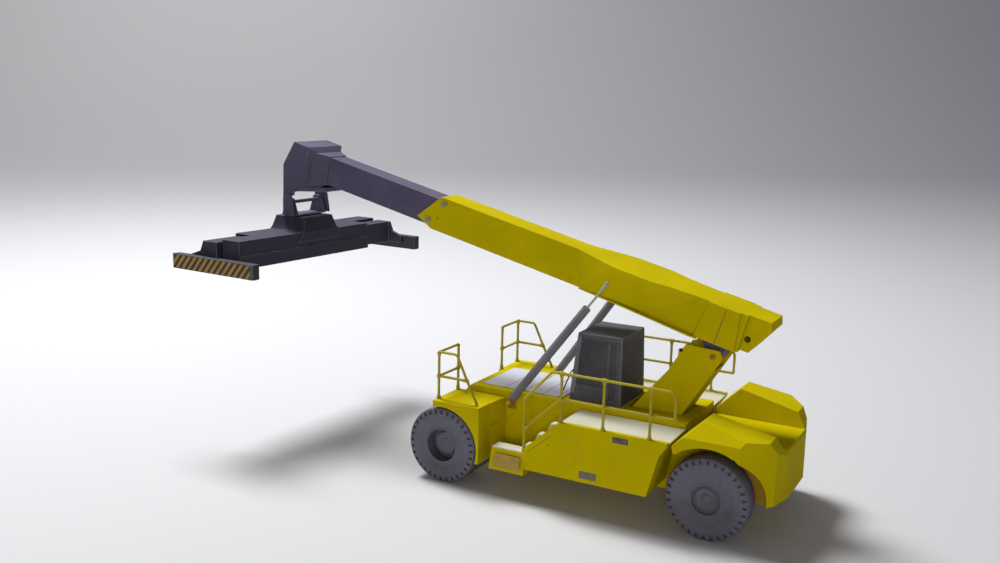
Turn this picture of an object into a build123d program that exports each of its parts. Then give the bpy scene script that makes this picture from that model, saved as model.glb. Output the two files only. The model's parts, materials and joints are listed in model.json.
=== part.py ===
from build123d import *
import math
import os

# Card model of a container reach stacker at 1:87. Millimetres, +X forward, +Y to the
# machine's left, +Z up, origin on the floor under the middle of the whole model.
# Stations along the machine are measured from the rear axle, and `rear_x` puts that
# axle in the frame.

# Wheels
wheel_base = 67.6
tyre_radius = 9.6
front_tyre_width = 5.3
front_outer_y = 23.2
twin_gap = 0.9
front_opening_radius = 4.1
rear_tyre_width = 5.6
rear_outer_y = 21.0
rear_opening_radius = 3.4
lug_count = 30
lug_gap = 0.7
lug_height = 1.0
lug_depth = 1.5
hub_cap_radius = 2.9
hub_cap_height = 1.1
front_recess = 3.2
rear_recess = 0.6
wire_radius = 0.5
wire_clearance = 0.15
running_clearance = 0.3

# Frame and deck
card = 0.4
sheet = 0.3
deck_top_z = 22.6
frame_half_width = 10.7
frame_bottom_z = 6.0
frame_front_x = 71.0
frame_rear_x = -6.0
nose_run = 4.5
nose_z = 18.0
axle_box = 4.4
deck_sheet_rear = 41.5
deck_sheet_front_margin = 2.3
deck_sheet_half_width = 8.5

# Side boxes with the walkways, their outer rims, and the steps at their front ends
walkway_z = 21.0
walkway_rear_x = 8.8
walkway_front_x = 35.5
side_outer_y = 23.0
rim_width = 1.4
rim_rise = 0.5
side_bottom_z = 8.1
side_slant_x = 13.3
side_slant_z = 17.9
landing_z = 12.0
landing_rear_x = 44.5
landing_front_x = 53.2
step_box_bottom_z = 6.4
step_box_flare = 0.8
step_count = 3
step_first_x = 38.2
step_first_z = 20.3
step_run = 3.25
step_drop = 3.15
tread_depth = 1.9

# Front fenders
fender_top_z = 20.9
fender_front_x = 70.4
fender_foot_x = 57.1
fender_bottom_z = 6.6
fender_fold_y = 17.0
fender_inner_x = 56.3
fender_wall = 0.8

# Counterweight with the rear wheel arches
tail_x = -14.9
tail_bottom_z = 8.7
tail_half_width = 7.0
tail_top_z = 19.3
tail_corner_x = -13.3
tail_corner_y = 14.3
hump_front_x = 2.4
hump_front_z = 26.6
hump_rear_x = -11.9
hump_rear_z = 23.4
hump_lip_x = 8.4
hump_lip_z = 20.7
skirt_z = 20.3
skirt_rear_x = -7.0
hump_half_width = 21.6
hump_crease_y = 18.5
hump_side_z = 23.15
lip_tab_x = 5.9
lip_tab_z = 19.0
arch_radius = 12.0
arch_inner_y = 14.6
trough_top_half_width = 11.2
trough_half_width = 9.5
trough_z = 19.8

# Boom and its pivot on the tower
boom_angle = 13.9
pivot_x = 5.2
pivot_z = 37.9
pivot_pin_radius = 0.6
boom_top = 12.5
boom_bottom = 3.4
boom_half_width = 4.0
boom_wall = 0.4
boom_rear_half_width = 6.0
boom_wing_half_width = 8.3
boom_tail_half_width = 5.0
wing_rear = 14.0
wing_rear_half_width = 6.8
wing_crease = 18.5
wing_full = 21.0
wing_fin = 28.5
wing_front = 39.5
wing_foot_half_width = 4.5
wing_foot_front = 37.0
lip_width = 0.9
bracket_proud = 0.6
boom_nose = 86.8
boom_tail = -10.2
cheek_pin_radius = 0.8
cheek_pin_proud = 0.4
inner_half_width = 3.3
inner_height = 7.7
inner_gap = 0.3
inner_rear = 31.0
inner_front = 118.7
tongue_half_width = 3.6
tower_half_width = 5.2
tower_wall = 0.8
tower_rear_x = 12.4
tower_front_x = 25.0

# Boom head and hanger. The pin lies ahead of the inner boom's end and below its axis.
head_pin_ahead = 9.1
head_pin_below = 4.1
head_half_width = 7.2
head_plate = 0.6
head_height = 17.2
collar = 0.3
leg_half_width = 1.6
leg_end = 1.4
cross_bar_height = 2.6
ear_plate = 0.6
ear_gap = 0.3
ear_foot_half_width = 2.9
hanger_drop = 3.8

# Spreader: two tubes side by side, each with its own arm and end beam
spreader_turn = -3.5
spreader_length = 69.7
beam_drop = 16.8
beam_length = 30.4
beam_height = 4.0
beam_width = 2.3
sleeve_width = 12.6
sleeve_height = 7.6
sleeve_lift = 1.2
sleeve_end_gap = 1.55
sleeve_setback = 10.4
ledge_height = 3.5
gusset_flare = 4.9
gusset_depth = 1.0
block_half_x = 5.4
block_half_y = 5.8
block_waist_half_y = 6.5
block_foot_half_y = 9.0
block_skirt = 2.8
king_pin_radius = 0.8
king_pin_length = 3.0

# Lift cylinders
ram_foot_x = 54.5
ram_foot_y = 12.1
ram_foot_z = 20.2
ram_eye_x = 31.0
ram_eye_y = 8.5
ram_eye_z = 52.6
ram_tube_radius = 1.05
ram_tube_length = 32.5
ram_rod_radius = 0.3
ram_rod_length = 31.5
ram_foot_radius = 1.3
ram_foot_width = 0.9
ram_eye_radius = 0.6

# Cab
cab_rear_x = 26.4
cab_front_x = 40.0
cab_half_width = 8.0
cab_roof_rear_x = 26.8
cab_roof_front_x = 38.4
cab_roof_half_width = 7.3
cab_roof_z = 39.6

# Railings
rail_radius = 0.35
rail_top_z = 33.3
rail_mid_z = 27.0
rail_y = 22.4
rail_rear_x = 7.6
rail_knee_x = 37.7
rail_knee_z = 25.6
rail_post_x = 44.8
rail_low_z = 18.2
front_rail_x = 70.0
front_rail_outer_y = 20.8
front_rail_inner_y = 11.6
front_rail_height = 12.0
front_rail_mid = 5.8
front_rail_foot = 1.7

tilt = math.radians(boom_angle)
turn = math.radians(spreader_turn)
pin_s = inner_front + head_pin_ahead
spreader_x = pivot_x + pin_s * math.cos(tilt) + head_pin_below * math.sin(tilt)
hanger_pin_z = pivot_z + pin_s * math.sin(tilt) - head_pin_below * math.cos(tilt)
block_top_z = hanger_pin_z - hanger_drop
beam_bottom_z = hanger_pin_z - beam_drop
sleeve_long = spreader_length / 2 - beam_width - sleeve_end_gap
sleeve_short = sleeve_long - sleeve_setback
deck_front_x = frame_front_x - nose_run
sleeve_bottom_z = beam_bottom_z + sleeve_lift
front_reach = (
    spreader_x
    + beam_length / 2 * math.cos(turn)
    + spreader_length / 2 * math.sin(abs(turn))
)
rear_x = -(front_reach + tail_x) / 2

os.makedirs("parts", exist_ok=True)


def keep(piece, name):
    piece.part.label = name
    export_step(piece.part, f"parts/{name}.step")


def side_plane(y=0.0):
    """Upright lengthwise plane: local x from the rear axle, local y up, normal -Y."""
    return Plane(origin=(rear_x, y, 0), x_dir=(1, 0, 0), z_dir=(0, -1, 0))


def pin_plane(y=0.0):
    """Upright lengthwise plane with its origin on the hanger's pin."""
    return Plane(origin=(rear_x + spreader_x, y, hanger_pin_z), x_dir=(1, 0, 0), z_dir=(0, -1, 0))


def boom_plane(y=0.0):
    """Lengthwise plane along the boom, local origin on the boom's pivot."""
    return Plane(
        origin=(rear_x + pivot_x, y, pivot_z),
        x_dir=(math.cos(tilt), 0, math.sin(tilt)),
        z_dir=(0, -1, 0),
    )


def boom_deck(height):
    """Plane along the boom at a height above its axis, local y to the left."""
    return Plane(
        origin=boom_plane().from_local_coords((0, height, 0)),
        x_dir=boom_plane().x_dir,
        z_dir=boom_plane().y_dir,
    )


def floor_plane(z=0.0):
    return Plane(origin=(rear_x, 0, z), x_dir=(1, 0, 0), z_dir=(0, 0, 1))


def cross_plane(x=0.0):
    """Upright plane across the machine: local x to the left, local y up, normal +X."""
    return Plane(origin=(rear_x + x, 0, 0), x_dir=(0, 1, 0), z_dir=(1, 0, 0))


def spreader_plane(z=0.0):
    """Level plane turned with the spreader: local y along the spreader, to the left."""
    return Plane(
        origin=(rear_x + spreader_x, 0, z),
        x_dir=(math.cos(turn), math.sin(turn), 0),
        z_dir=(0, 0, 1),
    )


def spreader_section(y):
    """Upright plane across the spreader at a distance along it, normal to its left end."""
    return Plane(
        origin=spreader_plane().from_local_coords((0, y, 0)),
        x_dir=-spreader_plane().x_dir,
        z_dir=spreader_plane().y_dir,
    )


def outline(*points):
    """Closed straight-sided outline, made a face in the sketch that is open."""
    with BuildLine() as border:
        Polyline(*points, close=True)
    make_face(border.edges())


def faceted(corners, faces):
    """Closed solid from its corners and the corner numbers of each flat face."""
    sheets = [Face(Wire.make_polygon([corners[i] for i in face])) for face in faces]
    return Solid(Shell(sheets))


def bent_wire(points, radius):
    """Straight runs of wire with mitred bends, added to the part that is open."""
    with BuildLine() as run:
        Polyline(*points)
    heading = Vector(*points[1]) - Vector(*points[0])
    with BuildSketch(Plane(origin=points[0], z_dir=heading)) as section:
        RegularPolygon(radius, 8)
    sweep(section.sketch, path=run.wires()[0], transition=Transition.RIGHT)


SIDES = (("left", 1), ("right", -1))

# Wheels. Each row: name, axle x, outer face y, tyre width, opening radius, recess,
# and for each tyre from outside in, its name's ending and whether its outer face has lugs
wheel_table = (
    ("front", wheel_base, front_outer_y, front_tyre_width, front_opening_radius, front_recess,
     (("_outer", True), ("_inner", False))),
    ("rear", 0.0, rear_outer_y, rear_tyre_width, rear_opening_radius, rear_recess,
     (("", True),)),
)


def wheel_plane(station, y, side):
    """Plane square to an axle at distance y from the middle, its normal outboard."""
    return Plane(
        origin=(rear_x + station, side * y, tyre_radius),
        x_dir=(1, 0, 0),
        z_dir=(0, side, 0),
    )


for axle, station, outer_y, width, opening, recess, tyre_table in wheel_table:
    for side_name, side in SIDES:
        count = len(tyre_table)
        for index, (ending, lugged) in enumerate(tyre_table):
            inner_face = outer_y - width - index * (width + twin_gap)
            tyre_plane = wheel_plane(station, inner_face, side)
            with BuildPart(tyre_plane) as tyre:
                with BuildSketch(tyre_plane):
                    RegularPolygon(tyre_radius, 2 * lug_count)
                    Circle(opening, mode=Mode.SUBTRACT)
                extrude(amount=width)
                if lugged:
                    with BuildPart(mode=Mode.PRIVATE) as groove:
                        with BuildSketch(Plane.XZ):
                            outline(
                                (tyre_radius - lug_height, width),
                                (tyre_radius + lug_height, width),
                                (tyre_radius + lug_height, width - 2 * lug_depth),
                            )
                        extrude(amount=lug_gap / 2, both=True)
                    with PolarLocations(0, lug_count):
                        add(groove.part, mode=Mode.SUBTRACT)
            keep(tyre, f"{axle}_tyre_{side_name}{ending}")
        hub_inner = outer_y - count * width - (count - 1) * twin_gap
        hub_outer = outer_y - recess - hub_cap_height
        with BuildPart() as hub:
            with BuildSketch(wheel_plane(station, hub_inner, side)):
                Circle(opening)
            extrude(amount=hub_outer - hub_inner)
            with BuildSketch(wheel_plane(station, hub_outer, side)):
                Circle(min(hub_cap_radius, opening - card))
            extrude(amount=hub_cap_height)
            with BuildSketch(wheel_plane(station, hub_inner, side)):
                Circle(wire_radius + wire_clearance)
            extrude(amount=hub_outer - hub_inner - card, mode=Mode.SUBTRACT)
        keep(hub, f"{axle}_hub_{side_name}")
    beam_half = outer_y - count * width - (count - 1) * twin_gap - running_clearance
    wire_half = outer_y - recess - hub_cap_height - card - running_clearance
    with BuildPart() as axle_beam:
        with Locations((rear_x + station, 0, tyre_radius)):
            Box(axle_box, 2 * beam_half, axle_box)
            Cylinder(wire_radius, 2 * wire_half, rotation=(90, 0, 0))
    keep(axle_beam, f"{axle}_axle")

# Main frame: a closed card box with the deck on top, notched for both axle boxes, and
# the two foot pins of the lift cylinders standing out of its sides
with BuildPart() as main_frame:
    with BuildSketch(side_plane()):
        outline(
            (frame_rear_x, frame_bottom_z),
            (frame_front_x, frame_bottom_z),
            (frame_front_x, nose_z),
            (deck_front_x, deck_top_z),
            (walkway_rear_x, deck_top_z),
            (walkway_rear_x, tail_top_z),
            (frame_rear_x, tail_top_z),
        )
        with Locations((0, tyre_radius), (wheel_base, tyre_radius)):
            Rectangle(axle_box, axle_box, mode=Mode.SUBTRACT)
    extrude(amount=frame_half_width, both=True)
    with BuildSketch(floor_plane(deck_top_z)):
        with Locations(((tower_rear_x + tower_front_x) / 2, 0)):
            Rectangle(tower_front_x - tower_rear_x + 2 * card, 2 * tower_half_width)
    extrude(amount=-tower_wall, mode=Mode.SUBTRACT)
    with Locations((rear_x + ram_foot_x, 0, ram_foot_z)):
        Cylinder(wire_radius, 2 * (ram_foot_y + ram_foot_width / 2 + card), rotation=(90, 0, 0))
keep(main_frame, "main_frame")

deck_sheet_front = deck_front_x - deck_sheet_front_margin
with BuildPart() as deck_sheet:
    with BuildSketch(floor_plane(deck_top_z)):
        with Locations(((deck_sheet_rear + deck_sheet_front) / 2, 0)):
            Rectangle(deck_sheet_front - deck_sheet_rear, 2 * deck_sheet_half_width)
    extrude(amount=sheet)
keep(deck_sheet, "deck_sheet")

# Side boxes: a low core under the walkway and a higher rim plate along its outside
side_box_width = side_outer_y - frame_half_width
steps = [(walkway_front_x, walkway_z + sheet)]
for index in range(step_count):
    step_x = step_first_x + index * step_run
    step_z = step_first_z - index * step_drop
    steps.append((step_x - tread_depth, step_z))
    steps.append((step_x, step_z))
steps.append((landing_rear_x + card, landing_z + sheet))
for side_name, side in SIDES:
    outer = max(side * side_outer_y, side * frame_half_width)
    rim = max(side * side_outer_y, side * (side_outer_y - rim_width))
    inside = max(side * (side_outer_y - rim_width), side * frame_half_width)
    with BuildPart() as side_box:
        with BuildSketch(side_plane(outer)):
            outline(
                (side_slant_x, side_bottom_z),
                (landing_rear_x, side_bottom_z),
                (landing_rear_x, landing_z),
                (walkway_front_x, walkway_z),
                (walkway_rear_x, walkway_z),
                (side_slant_x - 2.5, side_slant_z),
            )
        extrude(amount=side_box_width)
        with BuildSketch(side_plane(rim)):
            outline(
                (side_slant_x, side_bottom_z),
                (landing_rear_x, side_bottom_z),
                (landing_rear_x, landing_z + 1.4),
                (walkway_front_x, walkway_z + rim_rise),
                (walkway_rear_x, walkway_z + rim_rise),
                (side_slant_x - 2.5, side_slant_z),
            )
        extrude(amount=rim_width)
    keep(side_box, f"side_box_{side_name}")

    with BuildPart() as walkway:
        with BuildSketch(side_plane(inside)):
            outline(
                (walkway_rear_x, walkway_z),
                (walkway_rear_x, walkway_z + sheet),
                *steps,
                (landing_front_x, landing_z + sheet),
                (landing_front_x, landing_z),
                (landing_rear_x, landing_z),
                (walkway_front_x, walkway_z),
            )
        extrude(amount=side_box_width - rim_width)
    keep(walkway, f"walkway_{side_name}")

    with BuildPart() as step_box:
        with BuildSketch(side_plane(outer)):
            outline(
                (landing_rear_x, step_box_bottom_z),
                (landing_front_x + step_box_flare, step_box_bottom_z),
                (landing_front_x, landing_z),
                (landing_rear_x, landing_z),
            )
        extrude(amount=side_box_width)
    keep(step_box, f"step_box_{side_name}")

# Front fenders: top plate, outer skirt cut by the wheel arch, and a folded rear wall
for side_name, side in SIDES:
    skirt = max(side * side_outer_y, side * (side_outer_y - card))
    fender_plan = (
        (fender_front_x, side * frame_half_width),
        (fender_front_x, side * side_outer_y),
        (fender_foot_x, side * side_outer_y),
        (fender_foot_x, side * fender_fold_y),
        (fender_inner_x, side * frame_half_width),
    )
    with BuildPart() as fender:
        with BuildSketch(floor_plane(fender_top_z)):
            outline(*fender_plan)
        extrude(amount=-card)
        with BuildSketch(side_plane(skirt)):
            outline(
                (fender_front_x, fender_top_z),
                (fender_foot_x, fender_top_z),
                (fender_foot_x, fender_bottom_z),
                (fender_foot_x + fender_wall, fender_bottom_z),
                (wheel_base, tyre_radius),
                (fender_front_x, fender_top_z - 3.0),
            )
            with Locations((wheel_base, tyre_radius)):
                Circle(tyre_radius + running_clearance, mode=Mode.SUBTRACT)
        extrude(amount=card)
        with BuildSketch(floor_plane(fender_bottom_z)):
            outline(
                (fender_foot_x, side * side_outer_y),
                (fender_foot_x + card, side * side_outer_y),
                (fender_foot_x + card, side * fender_fold_y),
                (fender_inner_x + card, side * frame_half_width),
                (fender_inner_x, side * frame_half_width),
                (fender_foot_x, side * fender_fold_y),
            )
        extrude(amount=fender_top_z - fender_bottom_z)
    keep(fender, f"front_fender_{side_name}")

# Counterweight: two humps over the rear wheels with a trough between them
with BuildPart() as counterweight:
    with BuildSketch(side_plane()):
        outline(
            (tail_x, tail_bottom_z),
            (frame_rear_x, tail_bottom_z),
            (skirt_rear_x + 1.0, skirt_z),
            (lip_tab_x, skirt_z),
            (lip_tab_x, lip_tab_z),
            (hump_lip_x - card, lip_tab_z),
            (hump_lip_x, hump_lip_z),
            (hump_front_x, hump_front_z),
            (hump_rear_x, hump_rear_z),
            (tail_x + 0.6, tail_top_z),
        )
    extrude(amount=hump_half_width, both=True)
    with BuildSketch(floor_plane()):
        outline(
            (hump_lip_x, -hump_half_width),
            (hump_lip_x, hump_half_width),
            (skirt_rear_x, hump_half_width),
            (tail_corner_x, tail_corner_y),
            (tail_x, tail_half_width),
            (tail_x, -tail_half_width),
            (tail_corner_x, -tail_corner_y),
            (skirt_rear_x, -hump_half_width),
        )
    extrude(amount=hump_front_z, mode=Mode.INTERSECT)
    with BuildSketch(side_plane()):
        outline(
            (frame_rear_x, tail_top_z),
            (lip_tab_x, tail_top_z),
            (lip_tab_x, skirt_z),
            (frame_rear_x, skirt_z),
        )
    extrude(amount=frame_half_width, both=True)
    with BuildSketch(cross_plane()):
        for side_name, side in SIDES:
            outline(
                (side * hump_crease_y, hump_front_z),
                (side * (hump_half_width + 1), hump_front_z),
                (side * (hump_half_width + 1), hump_side_z - 1.0),
                (side * hump_half_width, hump_side_z),
            )
        outline(
            (-trough_top_half_width, hump_front_z),
            (-trough_half_width, trough_z),
            (trough_half_width, trough_z),
            (trough_top_half_width, hump_front_z),
        )
    extrude(amount=2 * hump_half_width, both=True, mode=Mode.SUBTRACT)
    for side_name, side in SIDES:
        with BuildSketch(side_plane(side * arch_inner_y)):
            with Locations((0, tyre_radius)):
                Circle(arch_radius)
        extrude(amount=-side * hump_half_width, mode=Mode.SUBTRACT)
    with BuildSketch(side_plane()):
        outline(
            (frame_rear_x, frame_bottom_z),
            (hump_lip_x, frame_bottom_z),
            (hump_lip_x, tail_top_z),
            (frame_rear_x, tail_top_z),
        )
    extrude(amount=frame_half_width, both=True, mode=Mode.SUBTRACT)
keep(counterweight, "counterweight")

# Tower: two cheeks on the frame with the pivot near their rear tops
with BuildPart() as tower:
    with BuildSketch(side_plane()):
        outline(
            (tower_rear_x, deck_top_z - tower_wall),
            (tower_front_x, deck_top_z - tower_wall),
            (tower_front_x - 9.4, pivot_z - 4.6),
            (pivot_x + 8.3, pivot_z - 0.9),
            (pivot_x + 8.3, pivot_z + 0.7),
            (pivot_x + 7.2, pivot_z + 1.0),
            (pivot_x + 6.6, pivot_z + 2.1),
            (pivot_x - 1.6, pivot_z + 1.5),
            (pivot_x - 2.3, pivot_z - 0.3),
        )
    extrude(amount=tower_half_width, both=True)
    with BuildSketch(side_plane()):
        outline(
            (0, pivot_z - 3.9),
            (tower_front_x, pivot_z - 3.9),
            (tower_front_x, pivot_z + 4),
            (0, pivot_z + 4),
        )
    extrude(amount=tower_half_width - tower_wall, both=True, mode=Mode.SUBTRACT)
    with Locations((rear_x + pivot_x, 0, pivot_z)):
        Cylinder(
            pivot_pin_radius + wire_clearance,
            2 * tower_half_width,
            rotation=(90, 0, 0),
            mode=Mode.SUBTRACT,
        )
keep(tower, "tower")

# Cab: a closed card box that tapers to its roof
cab_corners = [
    (rear_x + x, y, z)
    for z, back, front, half in (
        (deck_top_z, cab_rear_x, cab_front_x, cab_half_width),
        (cab_roof_z, cab_roof_rear_x, cab_roof_front_x, cab_roof_half_width),
    )
    for x, y in ((back, -half), (front, -half), (front, half), (back, half))
]
with BuildPart() as cab:
    add(faceted(cab_corners, (
        (0, 1, 2, 3), (4, 5, 6, 7), (0, 1, 5, 4), (1, 2, 6, 5), (2, 3, 7, 6), (3, 0, 4, 7),
    )))
keep(cab, "cab")

# Outer boom: a long box with its nose, and a wing on each side that narrows to its foot
wing_top = (
    (wing_front, boom_half_width),
    (wing_fin, boom_wing_half_width - 0.2),
    (wing_full, boom_wing_half_width),
    (wing_crease, boom_wing_half_width - 0.1),
    (wing_rear, wing_rear_half_width),
    (wing_rear / 2, boom_rear_half_width),
    (-5.0, boom_rear_half_width),
)
wing_bottom = (
    (wing_foot_front, boom_half_width),
    (wing_full - 1, wing_foot_half_width),
    (wing_rear / 2, boom_rear_half_width),
    (-5.0, boom_rear_half_width),
)
wing_corners = [
    boom_plane().from_local_coords((s, n, -side * y))
    for side in (1, -1)
    for n, row in ((boom_top, wing_top), (boom_bottom, wing_bottom))
    for s, y in row
]
top_count = len(wing_top)
wing_sides = ((0, 1, 7), (1, 8, 7), (1, 2, 8), (2, 3, 8), (3, 4, 8), (4, 5, 8), (5, 9, 8), (5, 6, 10, 9))
half_count = top_count + len(wing_bottom)
with BuildPart() as outer_boom:
    add(faceted(wing_corners, (
        tuple(range(top_count)) + tuple(half_count + i for i in reversed(range(top_count))),
        (7, 8, 9, 10, 21, 20, 19, 18),
        (6, 10, 21, 17),
        (0, 7, 18, 11),
        *wing_sides,
        *[tuple(half_count + i for i in face) for face in wing_sides],
    )))
    with BuildSketch(boom_plane()):
        outline(
            (wing_full, boom_bottom),
            (boom_nose - 4.8, boom_bottom),
            (boom_nose, boom_bottom + 2.0),
            (boom_nose - 6.0, boom_top),
            (wing_full, boom_top),
        )
    extrude(amount=boom_half_width, both=True)
    with BuildSketch(boom_plane()):
        outline(
            (boom_tail, boom_top),
            (boom_tail - 0.6, boom_top - 2.0),
            (boom_tail + 2.9, boom_bottom + 0.6),
            (0, boom_bottom + 0.6),
            (0, boom_top),
        )
    extrude(amount=boom_tail_half_width, both=True)
    with BuildSketch(boom_plane()):
        outline(
            (-3.2, boom_top),
            (4.2, boom_top),
            (5.6, boom_bottom),
            (-4.4, boom_bottom),
        )
    extrude(amount=boom_rear_half_width + bracket_proud, both=True)
    with BuildSketch(boom_deck(boom_bottom)):
        lip = (
            (wing_foot_front, boom_half_width),
            (wing_full - 1, wing_foot_half_width + lip_width),
            (wing_rear / 2, boom_rear_half_width + lip_width),
            (4.8, boom_rear_half_width + lip_width),
        )
        outline(*lip, *[(s, -y) for s, y in reversed(lip)])
    extrude(amount=-card)
    with BuildSketch(boom_plane()):
        with Locations(((boom_nose - 4.0) / 2 + 2, (boom_bottom + boom_top) / 2)):
            Rectangle(boom_nose + 8.0, boom_top - boom_bottom - 2 * boom_wall)
    extrude(amount=inner_half_width + inner_gap, both=True, mode=Mode.SUBTRACT)
    with BuildSketch(boom_plane()):
        with Locations((boom_tail + 4.0, boom_top - 5.6)):
            Circle(cheek_pin_radius)
    extrude(amount=boom_tail_half_width, both=True, mode=Mode.SUBTRACT)
    for side_name, side in SIDES:
        with BuildSketch(boom_plane(side * boom_half_width)):
            with Locations((boom_nose - 3.5, boom_bottom + 2.1), (boom_nose - 7.3, boom_top - 1.4)):
                Circle(cheek_pin_radius)
        extrude(amount=-side * cheek_pin_proud)
keep(outer_boom, "outer_boom")

with BuildPart() as boom_tongue:
    with BuildSketch(boom_plane()):
        outline(
            (-2.2, boom_bottom),
            (4.5, boom_bottom),
            (2.0, -1.2),
            (-1.2, -1.2),
        )
    extrude(amount=tongue_half_width, both=True)
    with Locations((rear_x + pivot_x, 0, pivot_z)):
        Cylinder(pivot_pin_radius, 2 * tower_half_width + 0.8, rotation=(90, 0, 0))
keep(boom_tongue, "boom_tongue")

# Inner boom
inner_bottom = boom_bottom + boom_wall + inner_gap / 2
with BuildPart() as inner_boom:
    with BuildSketch(boom_plane()):
        with Locations(((inner_rear + inner_front) / 2, inner_bottom + inner_height / 2)):
            Rectangle(inner_front - inner_rear, inner_height)
    extrude(amount=inner_half_width, both=True)
keep(inner_boom, "inner_boom")

# Head: a wide box that narrows to the inner boom's end, and two legs down to the pin
leg_top = 4.4
with BuildPart() as head:
    with BuildSketch(pin_plane()):
        outline(
            (-2.8, head_height),
            (1.3, head_height - 6.4),
            (leg_half_width, 1 - leg_end),
            (leg_half_width - 0.7, -leg_end),
            (0.5 - leg_half_width, -leg_end),
            (-leg_half_width, 1 - leg_end),
            (-leg_half_width - 0.7, leg_top - 1.4),
            (-leg_half_width - 1.8, leg_top),
            (-14.0, leg_top + 0.2),
            (-15.2, head_height - 4.6),
            (-9.4, head_height - 3.0),
            (-7.9, head_height - 1.3),
        )
    extrude(amount=head_half_width, both=True)
    with BuildSketch(boom_plane()):
        outline(
            (inner_front, inner_bottom - collar),
            (pin_s + 20, inner_bottom - 20),
            (pin_s + 20, boom_top + 20),
            (inner_front, boom_top + 20),
        )
    extrude(amount=head_half_width, both=True, mode=Mode.INTERSECT)
    sloped = Plane(
        origin=pin_plane().origin,
        x_dir=(math.cos(1.5 * tilt), 0, math.sin(1.5 * tilt)),
        z_dir=(-math.sin(1.5 * tilt), 0, math.cos(1.5 * tilt)),
    )
    with BuildSketch(sloped):
        cheek = (
            (head_height, head_half_width),
            (-2.0, head_half_width),
            (-3.4, head_half_width - 1.6),
            (2.2 - head_pin_ahead, inner_half_width + collar),
            (-2 * head_height, inner_half_width + collar),
        )
        outline(*cheek, *[(s, -y) for s, y in reversed(cheek)])
    extrude(amount=2 * head_height, both=True, mode=Mode.INTERSECT)
    with BuildSketch(pin_plane()):
        outline(
            (-leg_half_width - 1.4, -2 * leg_end),
            (2 * leg_half_width, -2 * leg_end),
            (2 * leg_half_width, leg_top + cross_bar_height),
            (leg_top - cross_bar_height - 4.2, leg_top + cross_bar_height),
            (leg_top - cross_bar_height - 4.2, leg_top - cross_bar_height),
            (-leg_half_width - 1.4, leg_top - cross_bar_height),
        )
    extrude(amount=head_half_width - head_plate, both=True, mode=Mode.SUBTRACT)
    with Locations((rear_x + spreader_x, 0, hanger_pin_z)):
        Cylinder(
            wire_radius + wire_clearance,
            2 * head_half_width + 2,
            rotation=(90, 0, 0),
            mode=Mode.SUBTRACT,
        )
keep(head, "boom_head")

# Hanger: two ears on a plate, the wire through them and the legs, and the king pin
ear_outer = head_half_width - head_plate - ear_gap
with BuildPart() as hanger:
    with BuildSketch(pin_plane()):
        outline(
            (-ear_foot_half_width, -hanger_drop),
            (ear_foot_half_width, -hanger_drop),
            (leg_half_width - 0.3, leg_half_width - 0.5),
            (0.3 - leg_half_width, leg_half_width - 0.5),
        )
    extrude(amount=ear_outer, both=True)
    with BuildSketch(pin_plane()):
        with Locations((0, sheet - hanger_drop)):
            Rectangle(20, 20, align=(Align.CENTER, Align.MIN))
    extrude(amount=ear_outer - ear_plate, both=True, mode=Mode.SUBTRACT)
    with Locations((rear_x + spreader_x, 0, hanger_pin_z)):
        Cylinder(wire_radius, 2 * head_half_width + 0.8, rotation=(90, 0, 0))
    with BuildSketch(floor_plane(block_top_z)):
        with Locations((spreader_x, 0)):
            Circle(king_pin_radius)
    extrude(amount=-king_pin_length)
keep(hanger, "hanger")

# Spreader block: it widens downward and its two skirts reach over the sides of the tubes
block_base_z = sleeve_bottom_z + sleeve_height
block_lid_z = block_top_z - running_clearance
block_waist_z = block_base_z + 0.25 * (block_lid_z - block_base_z)
skirt_base_z = block_base_z - block_skirt
with BuildPart() as rotator:
    with BuildSketch(spreader_section(0)):
        outline(
            (-block_half_x, block_lid_z),
            (block_half_x, block_lid_z),
            (sleeve_width / 2 + sheet, block_base_z),
            (sleeve_width / 2 + sheet, skirt_base_z),
            (-sleeve_width / 2 - sheet, skirt_base_z),
            (-sleeve_width / 2 - sheet, block_base_z),
        )
    extrude(amount=2 * block_foot_half_y, both=True)
    block_plane = Plane(
        origin=spreader_plane().origin,
        x_dir=spreader_plane().y_dir,
        z_dir=spreader_plane().x_dir,
    )
    with BuildSketch(block_plane):
        outline(
            (-block_half_y, block_lid_z),
            (block_half_y, block_lid_z),
            (block_waist_half_y, block_waist_z),
            (block_foot_half_y, skirt_base_z),
            (-block_foot_half_y, skirt_base_z),
            (-block_waist_half_y, block_waist_z),
        )
    extrude(amount=sleeve_width, both=True, mode=Mode.INTERSECT)
    with BuildSketch(spreader_plane(block_base_z)):
        Rectangle(sleeve_width, 4 * block_foot_half_y)
    extrude(amount=-2 * block_skirt, mode=Mode.SUBTRACT)
    with BuildSketch(spreader_plane(block_top_z)):
        Circle(king_pin_radius + wire_clearance)
    extrude(amount=-(king_pin_length + running_clearance), mode=Mode.SUBTRACT)
keep(rotator, "rotator_block")

# Two spreader tubes side by side, open at opposite ends, with one arm in each
tube_width = sleeve_width / 2
with BuildPart() as sleeve:
    for side_name, side in SIDES:
        middle_y = side * (sleeve_short - sleeve_long) / 2
        with BuildSketch(spreader_plane(sleeve_bottom_z)):
            with Locations((side * tube_width / 2, middle_y)):
                Rectangle(tube_width, sleeve_long + sleeve_short)
        extrude(amount=sleeve_height)
        with BuildSketch(spreader_plane(sleeve_bottom_z)):
            with Locations((side * (tube_width + sheet / 2), middle_y)):
                Rectangle(sheet, sleeve_long + sleeve_short)
        extrude(amount=ledge_height)
    for side_name, side in SIDES:
        with BuildSketch(spreader_section(side * (card - sleeve_long))):
            with Locations((-side * tube_width / 2, sleeve_bottom_z + sleeve_height / 2)):
                Rectangle(tube_width - 1.5 * card, sleeve_height - 2 * card)
        extrude(amount=side * 2 * sleeve_long, mode=Mode.SUBTRACT)
keep(sleeve, "spreader_sleeve")

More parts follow.
